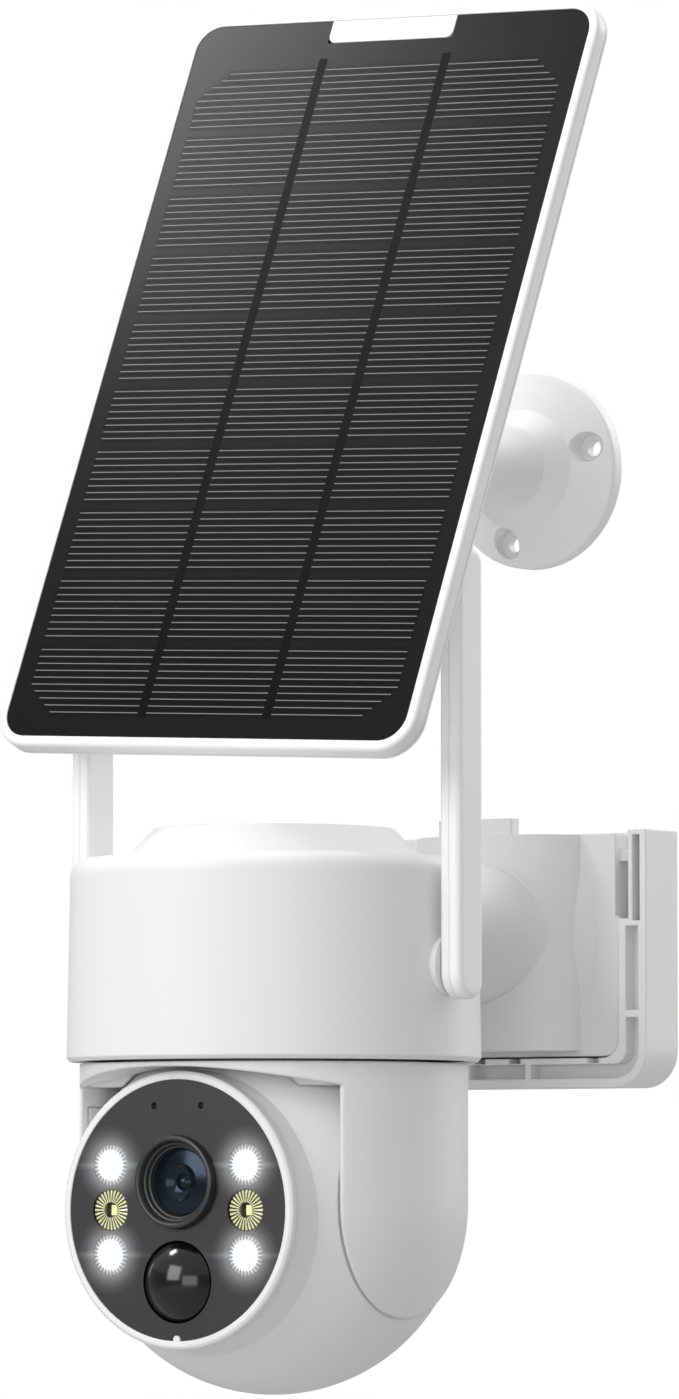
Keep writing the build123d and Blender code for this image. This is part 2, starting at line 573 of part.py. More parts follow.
def make_head_inside():
    """Seal, screws, bushes, tilt motor, speaker, card socket."""
    seal_r = math.sqrt(BALL_R ** 2 - SPLIT ** 2) - WALL - 0.35
    seal = ring(seal_r, seal_r - 1.4, 1.6, (0, AXIS_Y + SPLIT - 0.8, TILT_Z), (0, 1, 0))
    limit = BALL_FLAT - WALL - 0.2
    clear = [rod(3.6, 10, (x, AXIS_Y + SPLIT - 5, z), (0, 1, 0)) for x, z in head_screw_places()]
    seal = (seal & slab((-limit, -200, -130), (limit, 0, 0))) - clear
    keep("head_seal", seal)
    screws = []
    for x, z in head_screw_places():
        point = (x, AXIS_Y + SPLIT + 6.05, z)
        screws.append(rod(1.3, 11.0, point, (0, -1, 0)) + rod(2.5, 1.6, point, (0, 1, 0)))
    keep("head_screws", *screws)
    bushes = []
    for side in (-1, 1):
        bushes.append(ring(JOURNAL_R + 1.5, JOURNAL_R + 0.06, 6.6, (side * 34.2, AXIS_Y, TILT_Z), (side, 0, 0)))
    keep("head_bushes", *bushes)
    reach = MODULE * (TILT_TEETH + TILT_PINION_TEETH) / 2
    motor_x = -GEAR_FACE + GEAR_T + 2.0
    y = AXIS_Y + reach
    motor = rod(9.0, 15.0, (motor_x, y - 5.0, TILT_Z), (1, 0, 0))
    motor += rod(SHAFT_R, 9.0, (motor_x, y, TILT_Z), (-1, 0, 0))
    keep("tilt_motor", motor)
    speaker = rod(10.0, 5.0, (0, AXIS_Y + 36.0, TILT_Z), (0, -1, 0))
    speaker = fillet(speaker.edges().filter_by(GeomType.CIRCLE), 1.0)
    speaker = Pos(0, 3.0, 0) * speaker
    keep("speaker", speaker)
    frame = door_frame()
    socket = slab((-5.8, -3.8, -9.0), (2.6, 3.8, -3.6)) - slab((-4.8, -0.8, -8.0), (1.6, 0.8, 0))
    keep("card_socket", frame * socket)


def make_tilt_gears():
    """Gear fixed on the left journal inside the head, and the motor's pinion beside it."""
    turn = Rot(0, 90, 0)
    wheel = turn * gear(TILT_TEETH, GEAR_T, 4.0)
    # the turned gear's first tooth points down; a quarter turn puts one towards the pinion
    wheel = Pos(-GEAR_FACE, AXIS_Y, TILT_Z) * Rot(90, 0, 0) * wheel
    keep("tilt_gear", wheel)
    reach = MODULE * (TILT_TEETH + TILT_PINION_TEETH) / 2
    small = turn * gear(TILT_PINION_TEETH, GEAR_T, SHAFT_R + 0.05)
    small = Rot(90, 0, 0) * small
    keep("tilt_pinion", Pos(-GEAR_FACE, AXIS_Y + reach, TILT_Z) * small)


def make_card_door():
    """Rubber door that sits flush in the ball, and the small button behind it."""
    frame = door_frame()
    block = slab((-DOOR_W / 2, -DOOR_H / 2, -2.0), (DOOR_W / 2, DOOR_H / 2, 1.2))
    block = fillet(block.edges().filter_by(Axis.Z), 1.8)
    keep("card_door", (frame * block) & ball(BALL_R - 0.15))
    button = rod(1.1, 3.4, (4.6, 0, -6.6), (0, 0, 1)) + rod(1.7, 0.8, (4.6, 0, -6.6), (0, 0, 1))
    keep("reset_button", frame * button)


# ---- antennas -----------------------------------------------------------------------------
def antenna_blank(low_x, high_x):
    """Flat paddle along Z with round ends, between two X planes on the right-hand side."""
    y0, y1 = AXIS_Y - ANT_D / 2, AXIS_Y + ANT_D / 2
    body = slab((low_x, y0, ANT_BOTTOM), (high_x, y1, ANT_TOP))
    ends = body.edges().filter_by(Axis.X)
    front_low = ends.filter_by(lambda e: (e @ 0).Z < 0 and (e @ 0).Y < AXIS_Y)
    others = [e for e in ends if e not in front_low]
    body = fillet(others, 4.4)
    front = [e for e in body.edges().filter_by(Axis.X) if (e @ 0).Z < ANT_BOTTOM + 0.5 and (e @ 0).Y < AXIS_Y - 5.5]
    return fillet(front, 7.0)


def make_antenna(side):
    """Two half shells, the radiating strip between them and the hinge screw."""
    name = "right" if side > 0 else "left"
    seam = ANT_X + ANT_SEAM
    high = ANT_X + ANT_W
    full = antenna_blank(ANT_X, high)
    outer_face = [e for e in full.edges() if (e @ 0.5).X > high - 0.05]
    full = fillet(outer_face, 1.9)
    inner_face = [e for e in full.edges() if (e @ 0.5).X < ANT_X + 0.05]
    full = chamfer(inner_face, 0.7)
    cavity = slab((ANT_X + 1.4, AXIS_Y - 4.0, 6.0), (high - 1.4, AXIS_Y + 4.0, ANT_TOP - 6.0))
    full -= cavity
    inner = full & slab((0, -200, -50), (seam, 0, 150))
    outer = full & slab((seam, -200, -50), (100, 0, 150))
    inner -= rod(2.05, 20, (50, AXIS_Y, ANT_PIVOT_Z), (1, 0, 0))
    outer -= rod(3.25, 2.2, (seam - 0.1, AXIS_Y, ANT_PIVOT_Z), (1, 0, 0))
    strip = slab((ANT_X + 2.5, AXIS_Y - 3.2, 7.0), (ANT_X + 3.3, AXIS_Y + 3.2, ANT_TOP - 8.0))
    screw = rod(1.96, seam - 48.0, (48.0, AXIS_Y, ANT_PIVOT_Z), (1, 0, 0))
    screw += rod(3.2, 1.6, (seam, AXIS_Y, ANT_PIVOT_Z), (1, 0, 0))
    for label, solid in (("inner", inner), ("outer", outer), ("strip", strip), ("screw", screw)):
        solid = solid if side > 0 else mirror(solid, Plane.YZ)
        keep(f"antenna_{name}_{label}", solid)


# ---- solar panel --------------------------------------------------------------------------
def panel_frame_location():
    """Panel frame: origin at the middle of its rear face, +Z out of the glass, +Y up the panel."""
    lean = math.radians(PANEL_LEAN)
    normal = Vector(0, -math.cos(lean), math.sin(lean))
    origin = Vector(PANEL_X, BALL_JOINT_Y, MOUNT_Z) + normal * STEM_LENGTH
    return Plane(origin=origin, x_dir=(1, 0, 0), z_dir=normal).location * Rot(0, 0, PANEL_TURN)


def rounded_slab(width, height, corner, low, high):
    """Plate with round corners in the panel's own frame."""
    face = RectangleRounded(width, height, corner)
    return Pos(0, 0, low) * extrude(face, high - low)


def make_panel():
    """Front frame, glass, cells, rear cover and lead gland, built flat and then leaned back."""
    place_panel = panel_frame_location()
    glass_floor = PANEL_T - GLASS_T - 0.2
    front = rounded_slab(PANEL_W, PANEL_H, PANEL_CORNER, 1.6, PANEL_T)
    front = fillet([e for e in front.edges() if e.center().Z > PANEL_T - 0.01], 1.0)
    front -= rounded_slab(GLASS_W, GLASS_H, GLASS_CORNER, glass_floor, PANEL_T + 1)
    front -= rounded_slab(GLASS_W - 4, GLASS_H - 4, GLASS_CORNER - 2, 0, PANEL_T + 1)
    tab_place = Pos(0, GLASS_H / 2 - BLANK_H / 2 + 1.0, PANEL_T - 0.7)
    tab = tab_place * Box(BLANK_W, BLANK_H + 2, 1.0)
    tab = fillet(tab.edges().filter_by(Axis.Z).sort_by(Axis.Y)[:2], 2.4)
    glass = rounded_slab(GLASS_W - 0.1, GLASS_H - 0.1, GLASS_CORNER, glass_floor, PANEL_T - 0.25)
    glass -= tab_place * Box(BLANK_W + 0.1, BLANK_H + 2.1, 1.0)
    front += tab & rounded_slab(PANEL_W - 2, PANEL_H - 2, PANEL_CORNER, 0, PANEL_T)
    keep("panel_frame", place_panel * front)
    keep("panel_glass", place_panel * glass)

    cells = []
    pitch = CELL_FIELD_H / CELL_ROWS
    for column in range(CELL_COLUMNS):
        x = (column - (CELL_COLUMNS - 1) / 2) * (COLUMN_W + COLUMN_GAP)
        for row in range(CELL_ROWS):
            y = CELL_FIELD_Z + (row - (CELL_ROWS - 1) / 2) * pitch
            cells.append(Pos(x, y, glass_floor - 0.25) * Box(COLUMN_W, pitch - 2.0, 0.4))
    keep("panel_cells", *[place_panel * cell for cell in cells])

    back = rounded_slab(PANEL_W, PANEL_H, PANEL_CORNER, 0, 1.5)
    back += rounded_slab(GLASS_W - 4.2, GLASS_H - 4.2, GLASS_CORNER - 2, 1.4, glass_floor - 0.5)
    back = chamfer([e for e in back.edges() if e.center().Z < 0.01], 0.6)
    boss = Cone(22.0, 17.0, 9.0, align=(Align.CENTER, Align.CENTER, Align.MAX))
    boss = Rot(180, 0, 0) * Pos(0, 0, 9.0) * boss
    boss = Pos(0, 0, 0.1) * boss
    box = Pos(0, -42, 0.1) * extrude(RectangleRounded(46, 30, 5), -7.0)
    box = fillet([e for e in box.edges() if e.center().Z < -6.8], 1.5)
    back += boss + box
    back -= Pos(0, 0, -14) * Cylinder(3.1, 22.4)
    for x in (-60, 60):
        for y in (-100, 100):
            back -= Pos(x, y, 0) * Cylinder(1.4, 1.6)
    keep("panel_back", place_panel * back)
    gland = ring(3.4, 1.6, 8.0, (0, -57, -3.6), (0, -1, 0))
    keep("panel_gland", place_panel * gland)


def make_panel_stem():
    """Stud with the ball that the lock ring clamps, a flange and the thread in the panel."""
    lean = math.radians(PANEL_LEAN)
    normal = (0, -math.cos(lean), math.sin(lean))
    centre = (PANEL_X, BALL_JOINT_Y, MOUNT_Z)
    stem = ball(STUD_BALL_R, *centre) + rod(4.2, STEM_LENGTH - 9.3, centre, normal)
    flange_at = [c + n * (STEM_LENGTH - 12.4) for c, n in zip(centre, normal)]
    stem += rod(9.0, 3.2, flange_at, normal)
    thread_at = [c + n * (STEM_LENGTH - 9.3) for c, n in zip(centre, normal)]
    stem += rod(3.04, 6.0, thread_at, normal)
    return stem


def make_wall_base():
    """Domed round base with three screw holes, its neck, and the socket for the ball."""
    x, z = PANEL_X, MOUNT_Z
    neck_end = -BALL_JOINT_Y - 6.0
    outline = [(0, 0), (BASE_R, 0), (BASE_R, BASE_RIM), (BASE_R - 6, BASE_RIM + 3.4), (17.0, 10.0),
               (NECK_R, 17.0), (NECK_R, neck_end), (0, neck_end)]
    face = Plane.XY * make_face(Polyline(*outline, close=True))
    body = revolve(face, Axis.Y)
    edges = [e for e in body.edges().filter_by(GeomType.CIRCLE) if abs(e.radius - BASE_R) < 0.1 and e.center().Y > 1]
    body = fillet(edges, 1.2)
    body = Rot(0, 0, 180) * body
    body = Pos(x, 0, z) * body
    body -= rod(NECK_R - 3.0, neck_end - 10, (x, -6, z), (0, -1, 0))
    body -= ball(STUD_BALL_R + 0.05, x, BALL_JOINT_Y, z)
    # thread core that the lock ring runs on
    body -= ring(NECK_R + 1, NECK_R - 1.6, 14.0, (x, -neck_end + 12.0, z), (0, -1, 0))
    for angle in BASE_HOLE_ANGLES:
        hx = x + BASE_PCD / 2 * math.cos(math.radians(angle))
        hz = z + BASE_PCD / 2 * math.sin(math.radians(angle))
        body -= rod(BASE_HOLE_R, 40, (hx, 0, hz), (0, -1, 0))
        body -= rod(BASE_SINK_R, 40, (hx, -3.4, hz), (0, -1, 0))
    return body


def make_lock_ring():
    """Ribbed ring that screws onto the neck and closes over the ball."""
    x, z = PANEL_X, MOUNT_Z
    start = -(-BALL_JOINT_Y - 6.0) + 11.6
    length = 17.0
    body = rod(NECK_R + 2.2, length, (x, start, z), (0, -1, 0))
    body = chamfer(body.edges().filter_by(GeomType.CIRCLE), 1.0)
    body -= rod(NECK_R - 1.5, 11.7, (x, start + 0.1, z), (0, -1, 0))
    body -= ball(STUD_BALL_R + 0.35, x, BALL_JOINT_Y, z)
    mouth = Plane(origin=(x, BALL_JOINT_Y, z), z_dir=(0, -1, 0)) * Cone(
        4.0, 22.0, 14.0, align=(Align.CENTER, Align.CENTER, Align.MIN)
    )
    body -= mouth
    for index in range(18):
        angle = 2 * math.pi * index / 18
        spot = (x + (NECK_R + 2.9) * math.cos(angle), start, z + (NECK_R + 2.9) * math.sin(angle))
        body -= rod(1.3, 30, spot, (0, -1, 0))
    return body


# ---- assembly -----------------------------------------------------------------------------
def build():
    """Make every node."""
    keep("wall_plate", make_wall_plate())
    keep("bracket_arm", make_bracket_arm())
    keep("housing_shell", make_housing_shell())
    keep("housing_base", make_housing_base())
    keep("housing_screws", *make_housing_screws())
    seal_r = HOUSING_R - WALL - 0.15
    keep("housing_seal", ring(seal_r, seal_r - 1.6, 1.4, (0, AXIS_Y, HOUSING_BOTTOM + 2.65), (0, 0, 1)))
    cells, tray = make_battery()
    keep("battery_cells", *cells)
    keep("battery_tray", tray)
    keep("main_board", make_main_board())
    keep("pan_motor", make_pan_motor())
    keep("pan_bearing", ring(HUB_R + 1.2, HUB_R + 0.05, 7.0, (0, AXIS_Y, DRUM_TOP + 0.4), (0, 0, 1)))
    keep("pan_gear", make_pan_gear())
    keep("pan_pinion", make_pan_pinion())
    keep("pan_retainer", ring(HUB_R + 2.5, HUB_R + 0.02, 1.4, (0, AXIS_Y, GEAR_Z + GEAR_T + 0.05), (0, 0, 1)))
    socket = slab((-5.2, -7.4, -2.3), (5.2, -0.8, 2.3)) - slab((-4.4, -5.4, -1.5), (4.4, 0, 1.5))
    keep("charge_socket", socket_frame() * socket)
    cap = slab((-5.4, -0.6, -2.2), (5.4, 1.6, 2.2)) + slab((-6.8, 0.9, -4.4), (6.8, 2.2, 3.8))
    keep("socket_cap", socket_frame() * cap)
    button = rod(3.45, 7.4, (0, -5.8, 0), (0, 1, 0)) + rod(4.4, 1.2, (0, -5.8, 0), (0, 1, 0))
    keep("power_button", button_frame() * button)
    keep("yoke", make_yoke())
    keep("yoke_cover_right", make_yoke_cover(1))
    keep("yoke_cover_left", make_yoke_cover(-1))
    front, rear = make_head_shells()
    keep("head_front_shell", front)
    keep("head_rear_shell", rear)
    make_face_parts()
    make_head_inside()
    make_tilt_gears()
    make_card_door()
    make_antenna(1)
    make_antenna(-1)
    make_panel()
    keep("panel_stem", make_panel_stem())
    keep("panel_wall_base", make_wall_base())
    keep("panel_lock_ring", make_lock_ring())


build()
os.makedirs("parts", exist_ok=True)
for node, solid in PARTS.items():
    export_step(solid, f"parts/{node}.step")
print(len(PARTS), "nodes")
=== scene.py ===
"""Looks of a solar-powered pan and tilt security camera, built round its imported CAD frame."""
import math

import bmesh
import bpy
import numpy as np
from bpy.props import FloatProperty, FloatVectorProperty, IntProperty, PointerProperty
from bpy.types import Operator, Panel, PropertyGroup
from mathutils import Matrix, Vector


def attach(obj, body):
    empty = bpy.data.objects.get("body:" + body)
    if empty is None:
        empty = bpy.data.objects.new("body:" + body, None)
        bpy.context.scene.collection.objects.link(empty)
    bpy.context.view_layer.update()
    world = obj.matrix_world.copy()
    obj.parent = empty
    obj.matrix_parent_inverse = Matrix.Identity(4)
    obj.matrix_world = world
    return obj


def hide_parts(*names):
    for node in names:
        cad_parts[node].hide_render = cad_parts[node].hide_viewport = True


bl_info = {
    "name": "Solar security camera",
    "version": (1, 0, 0),
    "blender": (4, 5, 0),
    "location": "3D View > Sidebar > Solar camera",
    "description": "Finishes, lenses, lamps, solar cells and stage of a solar security camera",
    "category": "Object",
}

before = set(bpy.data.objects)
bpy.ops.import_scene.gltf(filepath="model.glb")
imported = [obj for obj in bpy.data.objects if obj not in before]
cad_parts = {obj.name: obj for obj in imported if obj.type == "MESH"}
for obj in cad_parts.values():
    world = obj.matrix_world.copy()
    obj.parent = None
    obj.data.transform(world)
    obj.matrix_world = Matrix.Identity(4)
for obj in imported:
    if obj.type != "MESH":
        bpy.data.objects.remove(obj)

# Places that the CAD part also uses, in metres.
AXIS_Y = -0.130          # pan axis
TILT_Z = -0.0684         # tilt axis
FACE_Z = TILT_Z - 0.0018
FACE_Y = AXIS_Y - 0.0460
LAMP_X, LAMP_Z, LAMP_R = 0.0217, 0.0119, 0.0056
LENS_Z = 0.0074
PANEL_LEAN, PANEL_TURN = math.radians(21.5), math.radians(-2.9)
STUD_BALL = np.array((0.0032, -0.0790, 0.1401))
STEM_LENGTH = 0.0417
GLASS_TOP = 0.00575      # front of the panel's glass above the panel's rear
MM = 0.001
CLEAN_ANGLE = math.radians(35)  # edges sharper than this stay sharp
DUST_COLOUR = (0.45, 0.43, 0.40)


# ---- properties ---------------------------------------------------------------------------
class ShellLook(PropertyGroup):
    """Finish of the moulded white shells."""

    colour: FloatVectorProperty(
        name="Colour", description="Colour of the white shells", subtype="COLOR",
        size=3, min=0, max=1, default=(0.80, 0.80, 0.80))
    roughness: FloatProperty(
        name="Roughness", description="Mean roughness of the shells", min=0, max=1, default=0.46)
    grain: FloatProperty(
        name="Grain size", description="Size of the mould's fine grain", unit="LENGTH",
        min=0.0001, max=0.01, default=0.0007, precision=5)
    relief: FloatProperty(
        name="Grain depth", description="Depth of the mould's fine grain", unit="LENGTH",
        min=0, max=0.0005, default=0.000012, precision=6)
    edge: FloatProperty(
        name="Edge radius", description="Radius that the shells' edges seem rounded to",
        unit="LENGTH", min=0, max=0.003, default=0.0007, precision=5)


class SolarLook(PropertyGroup):
    """Printed pattern and colours of the solar panel's face."""

    line_pitch: FloatProperty(
        name="Line pitch", description="Distance between two finger lines", unit="LENGTH",
        min=0.001, max=0.01, default=0.00207, precision=5)
    line_width: FloatProperty(
        name="Line width", description="Width of a finger line", unit="LENGTH",
        min=0.0001, max=0.002, default=0.00024, precision=5)
    first_line: FloatProperty(
        name="First line", description="Height of the top finger line above the glass's middle",
        unit="LENGTH", min=0, max=0.2, default=0.0942, precision=5)
    column_width: FloatProperty(
        name="Column width", description="Width of a column of cells", unit="LENGTH",
        min=0.01, max=0.1, default=0.0382, precision=5)
    column_gap: FloatProperty(
        name="Column gap", description="Gap between two columns", unit="LENGTH",
        min=0.0005, max=0.02, default=0.0030, precision=5)
    corner_x: FloatProperty(
        name="Corner width", description="Width cut from the field's outer corners", unit="LENGTH",
        min=0, max=0.03, default=0.0096, precision=5)
    corner_y: FloatProperty(
        name="Corner height", description="Height cut from the field's outer corners",
        unit="LENGTH", min=0, max=0.03, default=0.0083, precision=5)
    line_colour: FloatVectorProperty(
        name="Line colour", description="Colour of the finger lines", subtype="COLOR",
        size=3, min=0, max=1, default=(0.18, 0.184, 0.18))
    cell_colour: FloatVectorProperty(
        name="Cell colour", description="Colour of the cells", subtype="COLOR",
        size=3, min=0, max=1, default=(0.003, 0.003, 0.0035))


class HeadLook(PropertyGroup):
    """Lens, lamps and window of the camera head."""

    ribs: IntProperty(
        name="Lamp ribs", description="Radial ribs round a lamp's lens", min=8, max=96, default=28)
    segments: IntProperty(
        name="Segments", description="Points round a turned piece", min=24, max=256, default=128)
    lamp_power: FloatProperty(
        name="Lamp power", description="Brightness of the lit lamps", min=0, max=50, default=1.7)
    # The window's glow is painted light: emission painted on the window round each lamp.
    glow: FloatProperty(
        name="Window glow", description="Brightness of the glow in the window beside a lamp",
        min=0, max=10, default=1.3)
    painted_glow_reach: FloatProperty(
        name="Glow reach", description="How far the glow runs from a lamp's middle",
        unit="LENGTH", min=0.006, max=0.05, default=0.0115, precision=4)


class StageLook(PropertyGroup):
    """Camera and lights."""

    azimuth: FloatProperty(
        name="Azimuth", description="Camera's side, from the front towards +X",
        subtype="ANGLE", default=math.radians(34.0))
    distance: FloatProperty(
        name="Distance", description="Level distance from the pan axis to the camera",
        unit="LENGTH", min=0.2, max=20, default=2.027)
    height: FloatProperty(
        name="Height", description="Camera's height", unit="LENGTH",
        min=-5, max=5, default=-0.0697, precision=4)
    pitch: FloatProperty(
        name="Pitch", description="How far the camera looks up", subtype="ANGLE",
        default=math.radians(3.88))
    yaw: FloatProperty(
        name="Yaw", description="How far the camera looks right of the pan axis",
        subtype="ANGLE", default=math.radians(0.50))
    lens: FloatProperty(
        name="Focal length", description="Camera's focal length in millimetres",
        min=10, max=500, default=193.0)
    ambient: FloatProperty(
        name="Ambient", description="Brightness of the studio's walls as the object sees them",
        min=0, max=5, default=0.54)
    key: FloatProperty(
        name="Key", description="Power of the big light at the front left, in watts",
        min=0, max=1000, default=20.5)
    top: FloatProperty(
        name="Top", description="Power of the overhead light, in watts",
        min=0, max=1000, default=13.0)
    rim: FloatProperty(
        name="Rim", description="Power of the light at the rear right, in watts",
        min=0, max=1000, default=15.0)
    fill: FloatProperty(
        name="Fill", description="Power of the low light beside the camera, in watts",
        min=0, max=1000, default=12.0)
    sheen: FloatProperty(
        name="Sheen", description="Power of the small light that the solar panel mirrors, in watts",
        min=0, max=1000, default=2.7)
    floor: FloatProperty(
        name="Floor height", description="Height of the floor", unit="LENGTH",
        min=-5, max=5, default=-0.45)


# ---- meshes -------------------------------------------------------------------------------
def grid_quads(rows, columns):
    """Corner numbers of the quads between rings of points, each ring closed on itself.

    Point j of ring i has number i * columns + j, and its quad runs on to point (j + 1) mod
    columns of the same ring and of the next one."""
    ring = np.arange(rows - 1)[:, None] * columns
    here = np.arange(columns)[None, :]
    after = (here + 1) % columns
    quads = np.stack([ring + here, ring + after, ring + columns + after, ring + columns + here], -1)
    return quads.reshape(-1, 4)


def add_piece(name, points, faces, material, body):
    """Mesh object from arrays of points and faces, with merged seams and outward normals."""
    mesh = bpy.data.meshes.new(name)
    mesh.from_pydata(np.asarray(points).tolist(), [], np.asarray(faces).tolist())
    mesh.materials.append(material)
    work = bmesh.new()
    work.from_mesh(mesh)
    bmesh.ops.remove_doubles(work, verts=work.verts, dist=1e-7)
    bmesh.ops.dissolve_degenerate(work, edges=work.edges, dist=1e-8)
    bmesh.ops.recalc_face_normals(work, faces=work.faces)
    work.to_mesh(mesh)
    work.free()
    mesh.shade_smooth()
    mesh.set_sharp_from_angle(angle=CLEAN_ANGLE)
    made = bpy.data.objects.new(name, mesh)
    bpy.context.scene.collection.objects.link(made)
    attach(made, body)
    return made


def store_values(made, name, value_of):
    """Write a value on each point of a piece, worked out from the points' array."""
    mesh = made.data
    points = np.empty(len(mesh.vertices) * 3, np.float32)
    mesh.vertices.foreach_get("co", points)
    values = value_of(points.reshape(-1, 3)).astype(np.float32)
    mesh.attributes.new(name, "FLOAT", "POINT").data.foreach_set("value", values)


def on_face(x, z, out):
    """Points on the camera's round face: x and z across it, out in front of it."""
    return np.stack([x, FACE_Y - out, FACE_Z + z], -1)


def turned_points(profile, centre, segments, ripple=None):
    """Surface of revolution that faces forward from the head.

    A profile point (r, out) goes round a circle of radius r in front of the face, so a point is
    centre + r (cos t, sin t) with its height out; ripple adds a further height for each (r, t)."""
    profile = np.asarray(profile, float) * MM
    angle = np.linspace(0, 2 * math.pi, segments, endpoint=False)
    radius = np.repeat(profile[:, :1], segments, 1)
    out = np.repeat(profile[:, 1:], segments, 1)
    turn = np.repeat(angle[None, :], len(profile), 0)
    if ripple is not None:
        out = out + ripple(radius, turn)
    points = on_face(centre[0] + radius * np.cos(turn), centre[1] + radius * np.sin(turn), out)
    return points.reshape(-1, 3), grid_quads(len(profile), segments)


def arc_profile(radius, apex, rim, steps):
    """Shallow dome as profile points from its rim in to its apex.

    The height at r is rim + (apex - rim) (1 - (r / radius) squared)."""
    r = np.linspace(radius, 0, steps)
    return np.stack([r, rim + (apex - rim) * (1 - (r / radius) ** 2)], -1)


def on_panel(points):
    """Points of the panel's own frame, moved to where the panel leans and turns on its stud.

    Own x runs across the panel, y up it and z out of the glass from the panel's rear."""
    normal = np.array((0.0, -math.cos(PANEL_LEAN), math.sin(PANEL_LEAN)))
    level = np.array((1.0, 0.0, 0.0))
    upward = np.cross(normal, level)
    across = math.cos(PANEL_TURN) * level + math.sin(PANEL_TURN) * upward
    upward = np.cross(normal, across)
    origin = STUD_BALL + normal * STEM_LENGTH
    return origin + points @ np.stack([across, upward, normal])


def boxes(x0, x1, y0, y1, z0, z1):
    """Points and quads of many boxes, from arrays of their low and high sides.

    Corner i of a box takes its high x, y or z where bit 0, 1 or 2 of i is set."""
    low = np.stack(np.broadcast_arrays(x0, y0, z0), -1).reshape(-1, 1, 3)
    high = np.stack(np.broadcast_arrays(x1, y1, z1), -1).reshape(-1, 1, 3)
    pick = np.array([[(i >> 0) & 1, (i >> 1) & 1, (i >> 2) & 1] for i in range(8)])[None]
    points = np.where(pick, high, low).reshape(-1, 3)
    sides = np.array([(0, 2, 3, 1), (4, 5, 7, 6), (0, 1, 5, 4), (2, 6, 7, 3), (0, 4, 6, 2), (1, 3, 7, 5)])
    faces = (np.arange(len(low))[:, None, None] * 8 + sides[None]).reshape(-1, 4)
    return points, faces


def joined(parts):
    """Points and quads of several parts as one piece: each part's numbers follow the last one's."""
    starts = np.cumsum([0] + [len(points) for points, _ in parts[:-1]])
    points = np.concatenate([points for points, _ in parts])
    return points, np.concatenate([quads + start for (_, quads), start in zip(parts, starts)])


# ---- node groups and materials ------------------------------------------------------------
def group_tree(name, inputs, outputs):
    """Empty shader node group with named sockets, and its two end nodes."""
    tree = bpy.data.node_groups.new(name, "ShaderNodeTree")
    for label, kind, default in inputs:
        socket = tree.interface.new_socket(label, in_out="INPUT", socket_type=kind)
        if default is not None:
            socket.default_value = default
    for label, kind in outputs:
        tree.interface.new_socket(label, in_out="OUTPUT", socket_type=kind)
    return tree, tree.nodes.new("NodeGroupInput"), tree.nodes.new("NodeGroupOutput")


def noise(tree, vector, scale, detail=2.0, rough=0.5):
    """Noise node that reads a vector; scale is a number or a socket."""
    node = tree.nodes.new("ShaderNodeTexNoise")
    node.inputs["Detail"].default_value = detail
    node.inputs["Roughness"].default_value = rough
    tree.links.new(vector, node.inputs["Vector"])
    feed(tree, node.inputs["Scale"], scale)
    return node.outputs["Fac"]


def feed(tree, socket, value):
    """Give a socket a number or a colour, or link it to another socket."""
    if isinstance(value, bpy.types.NodeSocket):
        tree.links.new(value, socket)
    elif isinstance(value, tuple):
        socket.default_value = (*value, 1)
    else:
        socket.default_value = value


def maths(tree, operation, first, second=None, third=None, clamp=False):
    """Math node on sockets or numbers."""
    node = tree.nodes.new("ShaderNodeMath")
    node.operation = operation
    node.use_clamp = clamp
    for socket, value in zip(node.inputs, (first, second, third)):
        if value is not None:
            feed(tree, socket, value)
    return node.outputs[0]


def mix_colours(tree, factor, first, second, blend="MIX"):
    """Mix node on colours or sockets."""
    node = tree.nodes.new("ShaderNodeMix")
    node.data_type = "RGBA"
    node.blend_type = blend
    for label, value in (("Factor", factor), ("A", first), ("B", second)):
        feed(tree, node.inputs[label], value)
    return node.outputs["Result"]


def spread(tree, value, low, high, out_low, out_high):
    """Map Range node on a socket: smooth, and level outside the range."""
    node = tree.nodes.new("ShaderNodeMapRange")
    node.interpolation_type = "SMOOTHSTEP"
    ends = {"Value": value, "From Min": low, "From Max": high, "To Min": out_low, "To Max": out_high}
    for label, number in ends.items():
        feed(tree, node.inputs[label], number)
    return node.outputs["Result"]


def surface_group():
    """Group "Moulded surface": fine grain, and slow faint changes of roughness and shade."""
    tree, start, end = group_tree(
        "Moulded surface",
        [("Vector", "NodeSocketVector", None), ("Grain", "NodeSocketFloat", 0.0007),
         ("Roughness", "NodeSocketFloat", 0.45), ("Variation", "NodeSocketFloat", 0.08),
         ("Shade Range", "NodeSocketFloat", 0.03)],
        [("Roughness", "NodeSocketFloat"), ("Height", "NodeSocketFloat"), ("Shade", "NodeSocketFloat")])
    vector = start.outputs["Vector"]
    scale = maths(tree, "DIVIDE", 1.0, start.outputs["Grain"])
    fine = noise(tree, vector, scale, 3.0, 0.6)
    half = noise(tree, vector, maths(tree, "MULTIPLY", scale, 0.31), 2.0, 0.5)
    tree.links.new(maths(tree, "MULTIPLY_ADD", half, 0.5, fine), end.inputs["Height"])
    slow = noise(tree, vector, 34.0, 4.0, 0.6)
    smear = noise(tree, vector, 9.0, 3.0, 0.5)
    mixed = maths(tree, "SUBTRACT", maths(tree, "MULTIPLY_ADD", smear, 0.8, slow), 0.9)
    rough = maths(tree, "MULTIPLY_ADD", mixed, start.outputs["Variation"], start.outputs["Roughness"])
    rough = maths(tree, "MULTIPLY_ADD", maths(tree, "SUBTRACT", fine, 0.5), 0.06, rough, clamp=True)
    tree.links.new(rough, end.inputs["Roughness"])
    shade = maths(tree, "MULTIPLY", maths(tree, "SUBTRACT", smear, 0.5), start.outputs["Shade Range"])
    tree.links.new(maths(tree, "ADD", 1.0, shade), end.inputs["Shade"])
    return tree


